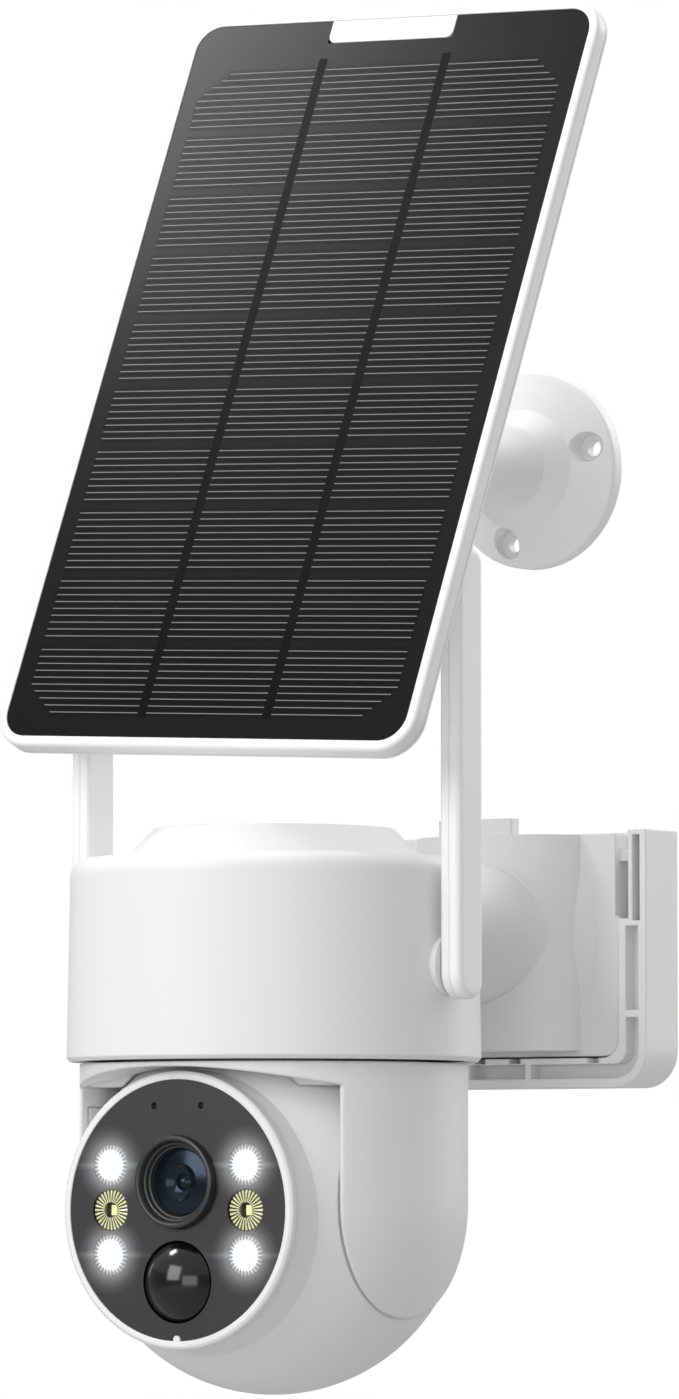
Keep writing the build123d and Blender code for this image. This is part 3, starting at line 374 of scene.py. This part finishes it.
def dust_group():
    """Group "Settled dust": mask of fine specks that lie on surfaces that face up."""
    tree, start, end = group_tree(
        "Settled dust",
        [("Vector", "NodeSocketVector", None), ("Normal", "NodeSocketVector", None)],
        [("Mask", "NodeSocketFloat")])
    split = tree.nodes.new("ShaderNodeSeparateXYZ")
    tree.links.new(start.outputs["Normal"], split.inputs[0])
    facing = spread(tree, split.outputs["Z"], 0.2, 0.95, 0.0, 1.0)
    specks = noise(tree, start.outputs["Vector"], 900.0, 2.0, 0.7)
    patch = noise(tree, start.outputs["Vector"], 22.0, 3.0, 0.6)
    speckled = maths(tree, "MULTIPLY", spread(tree, specks, 0.56, 0.72, 0.0, 1.0),
                     spread(tree, patch, 0.4, 0.7, 0.2, 1.0))
    tree.links.new(maths(tree, "MULTIPLY", facing, speckled), end.inputs["Mask"])
    return tree


def painted_glow_group():
    """Painted glow: light painted on the tinted window round a lamp, given off by the window itself.

    It falls with the distance d from the lamp's middle as (1 - d / reach) cubed. A second term,
    squashed in height and stretched across, paints the two faint level rays, and a third, wide
    and weak one falls as (1 - d / reach)."""
    tree, start, end = group_tree(
        "Painted lamp glow",
        [("Vector", "NodeSocketVector", None), ("Centre", "NodeSocketVector", None),
         ("Reach", "NodeSocketFloat", 0.012)],
        [("Glow", "NodeSocketFloat")])
    away = tree.nodes.new("ShaderNodeVectorMath")
    away.operation = "SUBTRACT"
    tree.links.new(start.outputs["Vector"], away.inputs[0])
    tree.links.new(start.outputs["Centre"], away.inputs[1])
    terms = []
    # Painted glow round the lamp, and two painted level rays across it.
    shapes = (((1, 0, 1), 3.0, 1.0), ((0.72, 0, 7.0), 2.0, 0.22), ((1.05, 0, 1.05), 1.0, 0.10))
    for stretch, power, share in shapes:
        scaled = tree.nodes.new("ShaderNodeVectorMath")
        scaled.operation = "MULTIPLY"
        scaled.inputs[1].default_value = stretch
        tree.links.new(away.outputs[0], scaled.inputs[0])
        length = tree.nodes.new("ShaderNodeVectorMath")
        length.operation = "LENGTH"
        tree.links.new(scaled.outputs[0], length.inputs[0])
        gone = maths(tree, "DIVIDE", length.outputs["Value"], start.outputs["Reach"])
        left = maths(tree, "SUBTRACT", 1.0, gone, clamp=True)
        terms.append(maths(tree, "MULTIPLY", maths(tree, "POWER", left, power), share))
    painted_glow_sum = maths(tree, "ADD", maths(tree, "ADD", terms[0], terms[1]), terms[2])
    tree.links.new(painted_glow_sum, end.inputs["Glow"])
    return tree


def shared(name):
    """A shared node group, made when it is first asked for."""
    makers = {"Moulded surface": surface_group, "Settled dust": dust_group, "Painted lamp glow": painted_glow_group}
    return bpy.data.node_groups.get(name) or makers[name]()


def add_group(tree, name):
    """Node that uses a shared group in a material."""
    node = tree.nodes.new("ShaderNodeGroup")
    node.node_tree = shared(name)
    return node


def object_vector(tree, centre=(0, 0, 0)):
    """Object coordinates measured from a centre."""
    source = tree.nodes.new("ShaderNodeTexCoord")
    mapping = tree.nodes.new("ShaderNodeMapping")
    mapping.inputs["Location"].default_value = [-c for c in centre]
    tree.links.new(source.outputs["Object"], mapping.inputs["Vector"])
    return mapping.outputs["Vector"]


def tinted(tree, shade, colour):
    """A colour multiplied by a shade value."""
    return mix_colours(tree, 1.0, colour, shade, "MULTIPLY")


def finish(name, colour, roughness, grain=0.0007, relief=0.00001, variation=0.10, shade_range=0.05,
           metallic=0.0, coat=0.0, specular=0.5, tint=(1, 1, 1), dust=0.0, sheen=0.0, edge=0.0):
    """Material with the shared moulded surface, and dust and rounded edges where asked for."""
    material = bpy.data.materials.new(name)
    material.use_nodes = True
    tree = material.node_tree
    shader = tree.nodes["Principled BSDF"]
    vector = object_vector(tree, (0, AXIS_Y, 0))
    surface = add_group(tree, "Moulded surface")
    tree.links.new(vector, surface.inputs["Vector"])
    surface.inputs["Grain"].default_value = grain
    surface.inputs["Roughness"].default_value = roughness
    surface.inputs["Variation"].default_value = variation
    surface.inputs["Shade Range"].default_value = shade_range
    coloured = tinted(tree, surface.outputs["Shade"], colour)
    if dust:
        specks = add_group(tree, "Settled dust")
        tree.links.new(vector, specks.inputs["Vector"])
        geometry = tree.nodes.new("ShaderNodeNewGeometry")
        tree.links.new(geometry.outputs["Normal"], specks.inputs["Normal"])
        share = maths(tree, "MULTIPLY", specks.outputs["Mask"], dust)
        coloured = mix_colours(tree, share, coloured, DUST_COLOUR)
    tree.links.new(coloured, shader.inputs["Base Color"])
    tree.links.new(surface.outputs["Roughness"], shader.inputs["Roughness"])
    bump = tree.nodes.new("ShaderNodeBump")
    bump.inputs["Strength"].default_value = 0.6
    bump.inputs["Distance"].default_value = relief
    tree.links.new(surface.outputs["Height"], bump.inputs["Height"])
    tree.links.new(bump.outputs["Normal"], shader.inputs["Normal"])
    if edge:
        rounded = tree.nodes.new("ShaderNodeBevel")
        rounded.samples = 6
        rounded.inputs["Radius"].default_value = edge
        tree.links.new(rounded.outputs["Normal"], bump.inputs["Normal"])
    shader.inputs["Metallic"].default_value = metallic
    shader.inputs["Coat Weight"].default_value = coat
    shader.inputs["Coat Roughness"].default_value = 0.04
    shader.inputs["Specular IOR Level"].default_value = specular
    shader.inputs["Specular Tint"].default_value = (*tint, 1)
    shader.inputs["Sheen Weight"].default_value = sheen
    return material


def emission_colour(material, socket_value, colour, strength):
    """Let a value glow in a material: its socket scales the emission's colour."""
    tree = material.node_tree
    shader = tree.nodes["Principled BSDF"]
    tree.links.new(tinted(tree, socket_value, colour), shader.inputs["Emission Color"])
    shader.inputs["Emission Strength"].default_value = strength


def attribute(tree, name):
    """Value stored on a piece's own points."""
    node = tree.nodes.new("ShaderNodeAttribute")
    node.attribute_name = name
    return node.outputs["Fac"]


def dress(slots, material):
    """Give the CAD nodes whose slot is listed a material."""
    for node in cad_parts.values():
        for place in node.material_slots:
            if place.material and place.material.name.split(".")[0] in slots:
                place.material = material


# ---- operators: one for each piece or group of like pieces ---------------------------------
class SOLARCAM_OT_shells(Operator):
    """Finish every white moulded shell: housing, yoke, ball, bracket, antennas and panel frame"""

    bl_idname = "solarcam.shells"
    bl_label = "Finish the white shells"

    def execute(self, context):
        look = context.scene.solarcam_shell
        base = tuple(look.colour)
        # Each slot's brightness, roughness and edge radius, as shares of the settings. The brightness
        # shares of the antennas, the mount and the wall plate are painted light: lit copies of the one
        # white, which brighten parts that the lights leave in shade.
        kinds = {
            "housing_white": (1.0, 1.0, 1.0), "yoke_white": (1.0, 1.0, 2.0), "head_white": (1.0, 0.96, 1.0),
            "bezel_white": (1.04, 0.80, 1.0), "bracket_white": (1.0, 1.08, 1.0),
            "antenna_white": (1.12, 0.95, 1.0), "panel_white": (1.03, 0.92, 1.0),
            "mount_white": (1.12, 1.0, 1.0), "plate_white": (1.09, 1.0, 1.0),
        }
        looks = {}
        for name, (light, rough, edge) in kinds.items():
            looks[name] = finish("look_" + name, tuple(c * light for c in base), look.roughness * rough,
                                 look.grain, look.relief, variation=0.07, shade_range=0.025, dust=0.10,
                                 edge=look.edge * edge)
            dress({name}, looks[name])
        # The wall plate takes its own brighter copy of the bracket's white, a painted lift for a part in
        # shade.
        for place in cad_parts["wall_plate"].material_slots:
            place.material = looks["plate_white"]
        return {"FINISHED"}


class SOLARCAM_OT_inner_parts(Operator):
    """Finish the rubber, steel, nylon, circuit and battery parts"""

    bl_idname = "solarcam.inner_parts"
    bl_label = "Finish the inner parts"

    def execute(self, context):
        metal = dict(metallic=1.0, variation=0.2)
        # Each slot's colour, roughness and grain size, and what else its finish needs.
        plain = {
            "seal_rubber": ((0.035, 0.035, 0.036), 0.75, 0.0004, dict(relief=0.00002)),
            "door_rubber": ((0.62, 0.62, 0.61), 0.62, 0.0005, dict(relief=0.00002, sheen=0.15)),
            "button_grey": ((0.20, 0.20, 0.21), 0.50, 0.0005, {}),
            "screw_steel": ((0.58, 0.57, 0.55), 0.32, 0.0003, metal),
            "motor_steel": ((0.50, 0.50, 0.49), 0.38, 0.0004, metal),
            "stud_steel": ((0.60, 0.60, 0.59), 0.28, 0.0003, metal),
            "gear_nylon": ((0.78, 0.76, 0.68), 0.42, 0.0005, {}),
            "bush_acetal": ((0.62, 0.62, 0.60), 0.35, 0.0005, {}),
            "copper_strip": ((0.80, 0.42, 0.26), 0.34, 0.0004, metal),
            "circuit_board": ((0.012, 0.075, 0.035), 0.40, 0.0006, dict(coat=0.3)),
            "cell_wrap": ((0.02, 0.16, 0.30), 0.30, 0.0008, dict(coat=0.4)),
            "tray_black": ((0.020, 0.020, 0.021), 0.50, 0.0005, {}),
            "sensor_metal": ((0.30, 0.30, 0.30), 0.30, 0.0003, dict(metallic=1.0)),
        }
        for name, (colour, roughness, grain, more) in plain.items():
            dress({name}, finish("look_" + name, colour, roughness, grain, **more))
        return {"FINISHED"}


class SOLARCAM_OT_solar_face(Operator):
    """Lay the cells, their finger lines and the dark column bars on the panel's glass"""

    bl_idname = "solarcam.solar_face"
    bl_label = "Lay the solar face"

    lines_in_row = (9, 8, 8, 9, 9, 8, 8, 9, 9, 10)

    def line_heights(self, look):
        """Height of each finger line down the glass: one slot is left out between rows."""
        count = np.array(self.lines_in_row)
        row = np.repeat(np.arange(len(count)), count)
        slot = np.arange(count.sum()) + row
        return look.first_line - slot * look.line_pitch

    def outer_limit(self, look, height):
        """Half width of the field at a height: it narrows over its cut corners.

        It is half - corner_x (1 - edge / corner_y) where the height is nearer than corner_y to
        the field's top or bottom, edge being that distance and a third of a line more."""
        half = 1.5 * look.column_width + look.column_gap
        heights = self.line_heights(look)
        edge = np.minimum(heights.max() - height, height - heights.min()) + 0.35 * look.line_pitch
        return half - look.corner_x * np.clip(1 - edge / look.corner_y, 0, 1)

    def execute(self, context):
        look = context.scene.solarcam_solar
        glass = finish("look_panel_glass", (0.004, 0.004, 0.0045), 0.24, grain=0.0012, relief=0.000002,
                       variation=0.05, specular=0.13, dust=0.02)
        dress({"panel_glass"}, glass)
        heights = self.line_heights(look)
        step = look.column_width + look.column_gap
        middles = np.array((-step, 0.0, step))
        lines, quads = self.lines(look, heights, middles)
        silver = finish("look_finger_lines", tuple(look.line_colour), 0.42, grain=0.0005, relief=0.000004,
                        variation=0.15, shade_range=0.12)
        add_piece("cell_finger_lines", on_panel(lines), quads, silver, "panel")
        cells, quads = self.cells(look, heights, middles)
        dark = finish("look_solar_cell", tuple(look.cell_colour), 0.25, grain=0.0016, relief=0.000002,
                      variation=0.06, shade_range=0.5, specular=0.10)
        cell_piece = add_piece("cell_plates", on_panel(cells), quads, dark, "panel")
        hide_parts("panel_cells")
        bars, quads = self.bars(look, heights, middles)
        bar_paint = finish("look_column_bars", (0.003, 0.003, 0.003), 0.34, grain=0.0010, relief=0.000003,
                           specular=0.05)
        add_piece("cell_column_bars", on_panel(bars), quads, bar_paint, "panel")
        return {"FINISHED"}

    def lines(self, look, heights, middles):
        """Thin level strips, one for each line and column, cut short at the field's corners."""
        height, middle = np.meshgrid(heights, middles, indexing="ij")
        limit = self.outer_limit(look, height)
        low = np.maximum(middle - look.column_width / 2, -limit)
        high = np.minimum(middle + look.column_width / 2, limit)
        half = look.line_width / 2
        return boxes(low, high, height - half, height + half, GLASS_TOP + 0.00003, GLASS_TOP + 0.00007)

    def cells(self, look, heights, middles):
        """Cell plates as one strip for each line slot, so that the corners step with the lines."""
        height, middle = np.meshgrid(heights, middles, indexing="ij")
        limit = self.outer_limit(look, height) + 0.0004
        low = np.maximum(middle - look.column_width / 2 - 0.0003, -limit)
        high = np.minimum(middle + look.column_width / 2 + 0.0003, limit)
        half = 0.52 * look.line_pitch
        return boxes(low, high, height - half, height + half, GLASS_TOP - 0.0001, GLASS_TOP + 0.00003)

    def bars(self, look, heights, middles):
        """Dark bars between the columns, a little longer than the field."""
        at = (middles[:-1] + middles[1:]) / 2
        half = look.column_gap / 2 - 0.0001
        low = np.full(2, heights.min() - 0.0012)
        high = np.full(2, heights.max() + 0.0036)
        return boxes(at - half, at + half, low, high, GLASS_TOP - 0.0001, GLASS_TOP + 0.00004)


class SOLARCAM_OT_window(Operator):
    """Finish the head's tinted window with its painted lamp glow, motion sensor dome and microphones"""

    bl_idname = "solarcam.window"
    bl_label = "Finish the window"

    def execute(self, context):
        look = context.scene.solarcam_head
        window = finish("look_face_black", (0.010, 0.010, 0.011), 0.36, grain=0.0009, relief=0.000002,
                        variation=0.05, specular=0.75)
        tree = window.node_tree
        vector = object_vector(tree)
        # Painted light: the window is made to glow round each of the four lamps, though it is no lamp.
        painted_glow_sum = None
        for x in (-LAMP_X, LAMP_X):
            for z in (-LAMP_Z, LAMP_Z):
                glow = add_group(tree, "Painted lamp glow")
                glow.inputs["Centre"].default_value = (x, FACE_Y, FACE_Z + z)
                glow.inputs["Reach"].default_value = look.painted_glow_reach
                tree.links.new(vector, glow.inputs["Vector"])
                value = glow.outputs["Glow"]
                painted_glow_sum = value if painted_glow_sum is None else maths(tree, "ADD", painted_glow_sum, value)
        # The painted glow is laid on as the window's emission.
        emission_colour(window, painted_glow_sum, (0.95, 0.97, 1.0), look.glow)
        dress({"face_black"}, window)
        dome = finish("look_sensor_dome", (0.003, 0.003, 0.003), 0.15, grain=0.0015, relief=0.000001,
                      variation=0.03, specular=0.6)
        dress({"sensor_dome"}, dome)
        return {"FINISHED"}


class SOLARCAM_OT_lens(Operator):
    """Build the camera lens: stepped hood, and coated front glass with the small domed pupil"""

    bl_idname = "solarcam.lens"
    bl_label = "Build the lens"

    def execute(self, context):
        segments = context.scene.solarcam_head.segments
        centre = (0.0, LENS_Z)
        metal = finish("look_lens_metal", (0.055, 0.055, 0.058), 0.36, grain=0.0004, relief=0.000006,
                       variation=0.10, metallic=0.6)
        # Rounded outer rim, sloping throat, middle step, then the seat of the glass.
        hood = [(12.35, -6.0), (12.35, 1.5), (12.2, 1.95), (11.85, 2.18), (11.3, 2.18), (11.05, 2.05),
                (10.75, 1.5), (10.35, 0.3), (10.2, 0.22), (9.95, 0.22), (9.85, 0.12), (9.6, -0.9),
                (9.45, -1.0), (9.2, -1.0), (9.1, -1.15), (8.9, -2.4), (8.8, -2.6), (8.8, -6.0),
                (12.35, -6.0)]
        points, quads = turned_points(hood, centre, segments)
        hood_piece = add_piece("lens_hood", points, quads, metal, "head")
        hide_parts("lens_barrel")
        coated = finish("look_lens_glass", (0.004, 0.006, 0.010), 0.16, grain=0.002, relief=0.0,
                        variation=0.02, shade_range=0.0, specular=0.45, tint=(0.50, 0.70, 1.0))
        # Crowned outer glass, a groove, the dished inner glass and the small domed pupil.
        crown = [(r, -2.4 + 0.9 * (1 - (r / 8.6) ** 2)) for r in np.linspace(8.6, 5.0, 20)]
        dish = [(r, -2.1 - 1.5 * (1 - (r / 4.6) ** 2)) for r in np.linspace(4.6, 2.3, 16)]
        front = np.concatenate([
            [(8.75, -6.0), (8.75, -2.5)], crown, [(4.85, -1.95), (4.7, -2.05)], dish,
            [(2.2, -3.4), (2.1, -3.3)], arc_profile(2.0, -2.3, -3.25, 12), [(0.0, -6.0), (8.75, -6.0)]])
        points, quads = turned_points(front, centre, segments)
        glass_piece = add_piece("lens_front_glass", points, quads, coated, "head")
        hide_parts("lens_glass")
        return {"FINISHED"}


class SOLARCAM_OT_lamps(Operator):
    """Build the four lit flood lamps with their ribbed lenses"""

    bl_idname = "solarcam.lamps"
    bl_label = "Build the lit lamps"

    def execute(self, context):
        look = context.scene.solarcam_head
        radius = LAMP_R / MM
        side = radius - 0.05
        profile = np.concatenate([
            [(side, -4.5), (side, -0.75)], arc_profile(radius - 0.25, 0.1, -0.6, 22),
            [(0.0, -4.5), (side, -4.5)]])

        def ripple(r, turn):
            """Radial ribs that rise towards the rim."""
            share = np.clip((r / LAMP_R - 0.45) / 0.35, 0, 1) * (r < LAMP_R * 0.97)
            return 0.00014 * share * np.cos(look.ribs * turn)

        points, quads = joined([
            turned_points(profile, (x, z), 4 * look.ribs, ripple)
            for x in (-LAMP_X, LAMP_X) for z in (-LAMP_Z, LAMP_Z)])
        material = finish("look_lamp_lens", (0.30, 0.31, 0.32), 0.12, grain=0.0010, relief=0.0,
                          variation=0.05, coat=0.6)
        emission_colour(material, attribute(material.node_tree, "lit"), (1.0, 1.0, 1.0), look.lamp_power)
        made = add_piece("flood_lamp_lenses", points, quads, material, "head")

        def lit(points):
            """Bright middle that fades through bright and dim ribs to the rim."""
            x = np.abs(points[:, 0]) - LAMP_X
            z = np.abs(points[:, 2] - FACE_Z) - LAMP_Z
            r = np.hypot(x, z) / LAMP_R
            turn = np.arctan2(z, x)
            ribs = 0.5 + 0.5 * np.cos(look.ribs * turn)
            core = np.clip((0.78 - r) / 0.35, 0, 1)
            return core + np.clip((1.06 - r) / 0.30, 0, 1) * (0.02 + 0.40 * ribs ** 2)

        store_values(made, "lit", lit)
        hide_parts("flood_lenses")
        return {"FINISHED"}


class SOLARCAM_OT_spots(Operator):
    """Build the two ribbed spot lenses with the chip in the middle"""

    bl_idname = "solarcam.spots"
    bl_label = "Build the spot lenses"

    def execute(self, context):
        look = context.scene.solarcam_head
        radius = LAMP_R / MM
        side = radius - 0.05
        profile = [(side, -4.6), (side, -1.1), (radius - 0.3, -0.9)]
        profile += [(r, -0.9 + 0.35 * (5.3 - r) / 3.2) for r in np.linspace(5.2, 2.2, 14)]
        profile += [(2.05, -0.6), (1.95, -1.2), (1.8, -2.6), (0.0, -2.6), (0.0, -4.6), (side, -4.6)]

        def ripple(r, turn):
            """Radial ribs between the middle hole and the rim."""
            share = np.clip((r / LAMP_R - 0.38) / 0.1, 0, 1) * (r < LAMP_R * 0.94)
            return 0.00022 * share * np.cos(look.ribs * turn)

        points, quads = joined([
            turned_points(profile, (x, 0.0), 6 * look.ribs, ripple) for x in (-LAMP_X, LAMP_X)])
        material = finish("look_spot_lens", (0.80, 0.81, 0.48), 0.16, grain=0.0010, relief=0.0, coat=0.8)
        tree = material.node_tree
        shader = tree.nodes["Principled BSDF"]
        # Painted light: the base colour is a painted highlight on the ribs' crests and painted shade in the
        # grooves and the middle hole; the same pattern also glows faintly.
        ribbed = mix_colours(tree, attribute(tree, "painted_rib_shading"), (0.045, 0.045, 0.030), (0.88, 0.90, 0.52))
        tree.links.new(ribbed, shader.inputs["Base Color"])
        tree.links.new(ribbed, shader.inputs["Emission Color"])
        shader.inputs["Emission Strength"].default_value = 0.10
        made = add_piece("spot_lamp_lenses", points, quads, material, "head")

        def painted_rib_shading(points):
            """Painted highlight on the ribs' crests, painted shade in the grooves and in the middle hole.
            """
            x = np.abs(points[:, 0]) - LAMP_X
            z = points[:, 2] - FACE_Z
            r = np.hypot(x, z) / LAMP_R
            crest = np.clip(0.45 + 1.1 * np.cos(look.ribs * np.arctan2(z, x)), 0, 1)
            ring = np.clip((r - 0.36) / 0.04, 0, 1) * np.clip((0.97 - r) / 0.03, 0, 1)
            return crest * ring

        store_values(made, "painted_rib_shading", painted_rib_shading)
        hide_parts("spot_lenses")
        chip = finish("look_lamp_chip", (0.90, 0.88, 0.30), 0.25, grain=0.0006, coat=0.8)
        lit_chip = chip.node_tree.nodes["Principled BSDF"]
        lit_chip.inputs["Emission Color"].default_value = (0.95, 0.95, 0.55, 1)
        lit_chip.inputs["Emission Strength"].default_value = 0.5
        dress({"lamp_chip"}, chip)
        at = np.array((-LAMP_X, LAMP_X))
        points, quads = boxes(at - 0.0008, at + 0.0008, FACE_Y + 0.0021, FACE_Y + 0.0026,
                              np.full(2, FACE_Z - 0.0013), np.full(2, FACE_Z + 0.0013))
        add_piece("spot_lamp_chips", points, quads, chip, "head")
        return {"FINISHED"}


class SOLARCAM_OT_stage(Operator):
    """Set the floor, the camera, the soft lights and the pale surroundings"""

    bl_idname = "solarcam.stage"
    bl_label = "Set the stage"

    def execute(self, context):
        look = context.scene.solarcam_stage
        self.floor(look)
        self.camera(context, look)
        self.lights(context, look)
        self.world(context, look)
        context.scene.view_settings.view_transform = "Standard"
        return {"FINISHED"}

    def floor(self, look):
        """Wide shallow bowl: its height is the floor's plus 0.004 times its radius cubed."""
        spokes, rings = 96, 28
        angle = np.linspace(0, 2 * math.pi, spokes, endpoint=False)
        radius = np.linspace(0.0, 9.0, rings)[:, None]
        height = look.floor + 0.004 * radius ** 3
        points = np.stack([radius * np.cos(angle), radius * np.sin(angle), height + 0 * angle], -1)
        mesh = bpy.data.meshes.new("stage_floor")
        mesh.from_pydata(points.reshape(-1, 3).tolist(), [], grid_quads(rings, spokes).tolist())
        mesh.shade_smooth()
        material = bpy.data.materials.new("stage_pale")
        material.use_nodes = True
        tree = material.node_tree
        shader = tree.nodes["Principled BSDF"]
        shader.inputs["Base Color"].default_value = (0.40, 0.40, 0.40, 1)
        shader.inputs["Roughness"].default_value = 0.8
        white = tree.nodes.new("ShaderNodeEmission")
        mix = tree.nodes.new("ShaderNodeMixShader")
        path = tree.nodes.new("ShaderNodeLightPath")
        tree.links.new(path.outputs["Is Camera Ray"], mix.inputs[0])
        tree.links.new(shader.outputs[0], mix.inputs[1])
        tree.links.new(white.outputs[0], mix.inputs[2])
        tree.links.new(mix.outputs[0], tree.nodes["Material Output"].inputs["Surface"])
        mesh.materials.append(material)
        floor = bpy.data.objects.new("stage_floor", mesh)
        bpy.context.scene.collection.objects.link(floor)

    def camera(self, context, look):
        """Level with the ball, on the +X side of the front, looking a little up."""
        data = bpy.data.cameras.new("camera")
        data.sensor_width = 36.0
        data.lens = look.lens
        data.clip_start, data.clip_end = 0.05, 100.0
        made = bpy.data.objects.new("camera", data)
        made.location = (look.distance * math.sin(look.azimuth),
                         AXIS_Y - look.distance * math.cos(look.azimuth), look.height)
        made.rotation_euler = (math.pi / 2 + look.pitch, 0, look.azimuth - look.yaw)
        context.scene.collection.objects.link(made)
        context.scene.camera = made

    def lights(self, context, look):
        """Soft area lights, each placed by its side, depth and height as the camera sees them."""
        across = Vector((math.cos(look.azimuth), math.sin(look.azimuth), 0))
        back = Vector((math.sin(look.azimuth), -math.cos(look.azimuth), 0))
        aim = Vector((0, AXIS_Y, 0.02))
        kinds = (
            ("key", look.key, (-1.55, 1.35, 0.65), (1.2, 1.2)),
            ("top", look.top, (0.25, -0.55, 1.85), (1.4, 1.4)),
            ("fill", look.fill, (-0.30, 2.3, -0.05), (1.5, 1.1)),
            ("rim", look.rim, (1.50, -1.20, 0.75), (0.6, 1.4)),
            ("sheen", look.sheen, (-0.60, -0.09, 0.76), (0.20, 0.20)),
        )
        for name, power, (side, depth, height), (wide, tall) in kinds:
            data = bpy.data.lights.new(name, "AREA")
            data.shape = "RECTANGLE"
            data.size, data.size_y = wide, tall
            data.energy = power
            made = bpy.data.objects.new(name, data)
            made.location = aim + across * side + back * depth + Vector((0, 0, height))
            made.rotation_euler = (aim - made.location).to_track_quat("-Z", "Y").to_euler()
            context.scene.collection.objects.link(made)

    def world(self, context, look):
        """White to the camera, and a dimmer grey to the surfaces that it lights."""
        world = bpy.data.worlds.new("studio")
        world.use_nodes = True
        tree = world.node_tree
        shown = tree.nodes["Background"]
        shown.inputs["Strength"].default_value = 1.0
        shown.inputs["Color"].default_value = (1, 1, 1, 1)
        seen = tree.nodes.new("ShaderNodeBackground")
        seen.inputs["Color"].default_value = (1, 1, 1, 1)
        seen.inputs["Strength"].default_value = look.ambient
        source = tree.nodes.new("ShaderNodeTexCoord")
        split = tree.nodes.new("ShaderNodeSeparateXYZ")
        tree.links.new(source.outputs["Generated"], split.inputs[0])
        level = spread(tree, split.outputs["Z"], -0.6, 0.9, 0.55, 1.25)
        tree.links.new(tinted(tree, level, (1, 1, 1)), seen.inputs["Color"])
        mix = tree.nodes.new("ShaderNodeMixShader")
        path = tree.nodes.new("ShaderNodeLightPath")
        tree.links.new(path.outputs["Is Camera Ray"], mix.inputs[0])
        tree.links.new(seen.outputs[0], mix.inputs[1])
        tree.links.new(shown.outputs[0], mix.inputs[2])
        tree.links.new(mix.outputs[0], tree.nodes["World Output"].inputs["Surface"])
        context.scene.world = world


class SOLARCAM_PT_panel(Panel):
    """Sizes, colours and steps of the solar camera"""

    bl_idname = "SOLARCAM_PT_panel"
    bl_label = "Solar camera"
    bl_space_type = "VIEW_3D"
    bl_region_type = "UI"
    bl_category = "Solar camera"

    def draw(self, context):
        scene = context.scene
        for group, steps in GROUPS:
            box = self.layout.box()
            settings = getattr(scene, group)
            for label in settings.__annotations__:
                box.prop(settings, label)
            for step in steps:
                box.operator(step)


GROUPS = (
    ("solarcam_shell", ("solarcam.shells", "solarcam.inner_parts")),
    ("solarcam_solar", ("solarcam.solar_face",)),
    ("solarcam_head", ("solarcam.window", "solarcam.lens", "solarcam.lamps", "solarcam.spots")),
    ("solarcam_stage", ("solarcam.stage",)),
)
SETTINGS = {
    "solarcam_shell": ShellLook, "solarcam_solar": SolarLook,
    "solarcam_head": HeadLook, "solarcam_stage": StageLook,
}
CLASSES = (
    ShellLook, SolarLook, HeadLook, StageLook, SOLARCAM_OT_shells, SOLARCAM_OT_inner_parts,
    SOLARCAM_OT_solar_face, SOLARCAM_OT_window, SOLARCAM_OT_lens, SOLARCAM_OT_lamps,
    SOLARCAM_OT_spots, SOLARCAM_OT_stage, SOLARCAM_PT_panel,
)


def register():
    """Register the classes and their settings."""
    for item in CLASSES:
        bpy.utils.register_class(item)
    for name, kind in SETTINGS.items():
        setattr(bpy.types.Scene, name, PointerProperty(type=kind))


def unregister():
    """Take the settings and the classes away again."""
    for name in SETTINGS:
        delattr(bpy.types.Scene, name)
    for item in reversed(CLASSES):
        bpy.utils.unregister_class(item)


def run(step):
    """Call an operator by its name, such as "solarcam.lens"."""
    group, name = step.split(".")
    getattr(getattr(bpy.ops, group), name)()


def main():
    """Run every step."""
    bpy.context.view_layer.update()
    register()
    for _, steps in GROUPS:
        for step in steps:
            run(step)


if __name__ == "__main__":
    main()
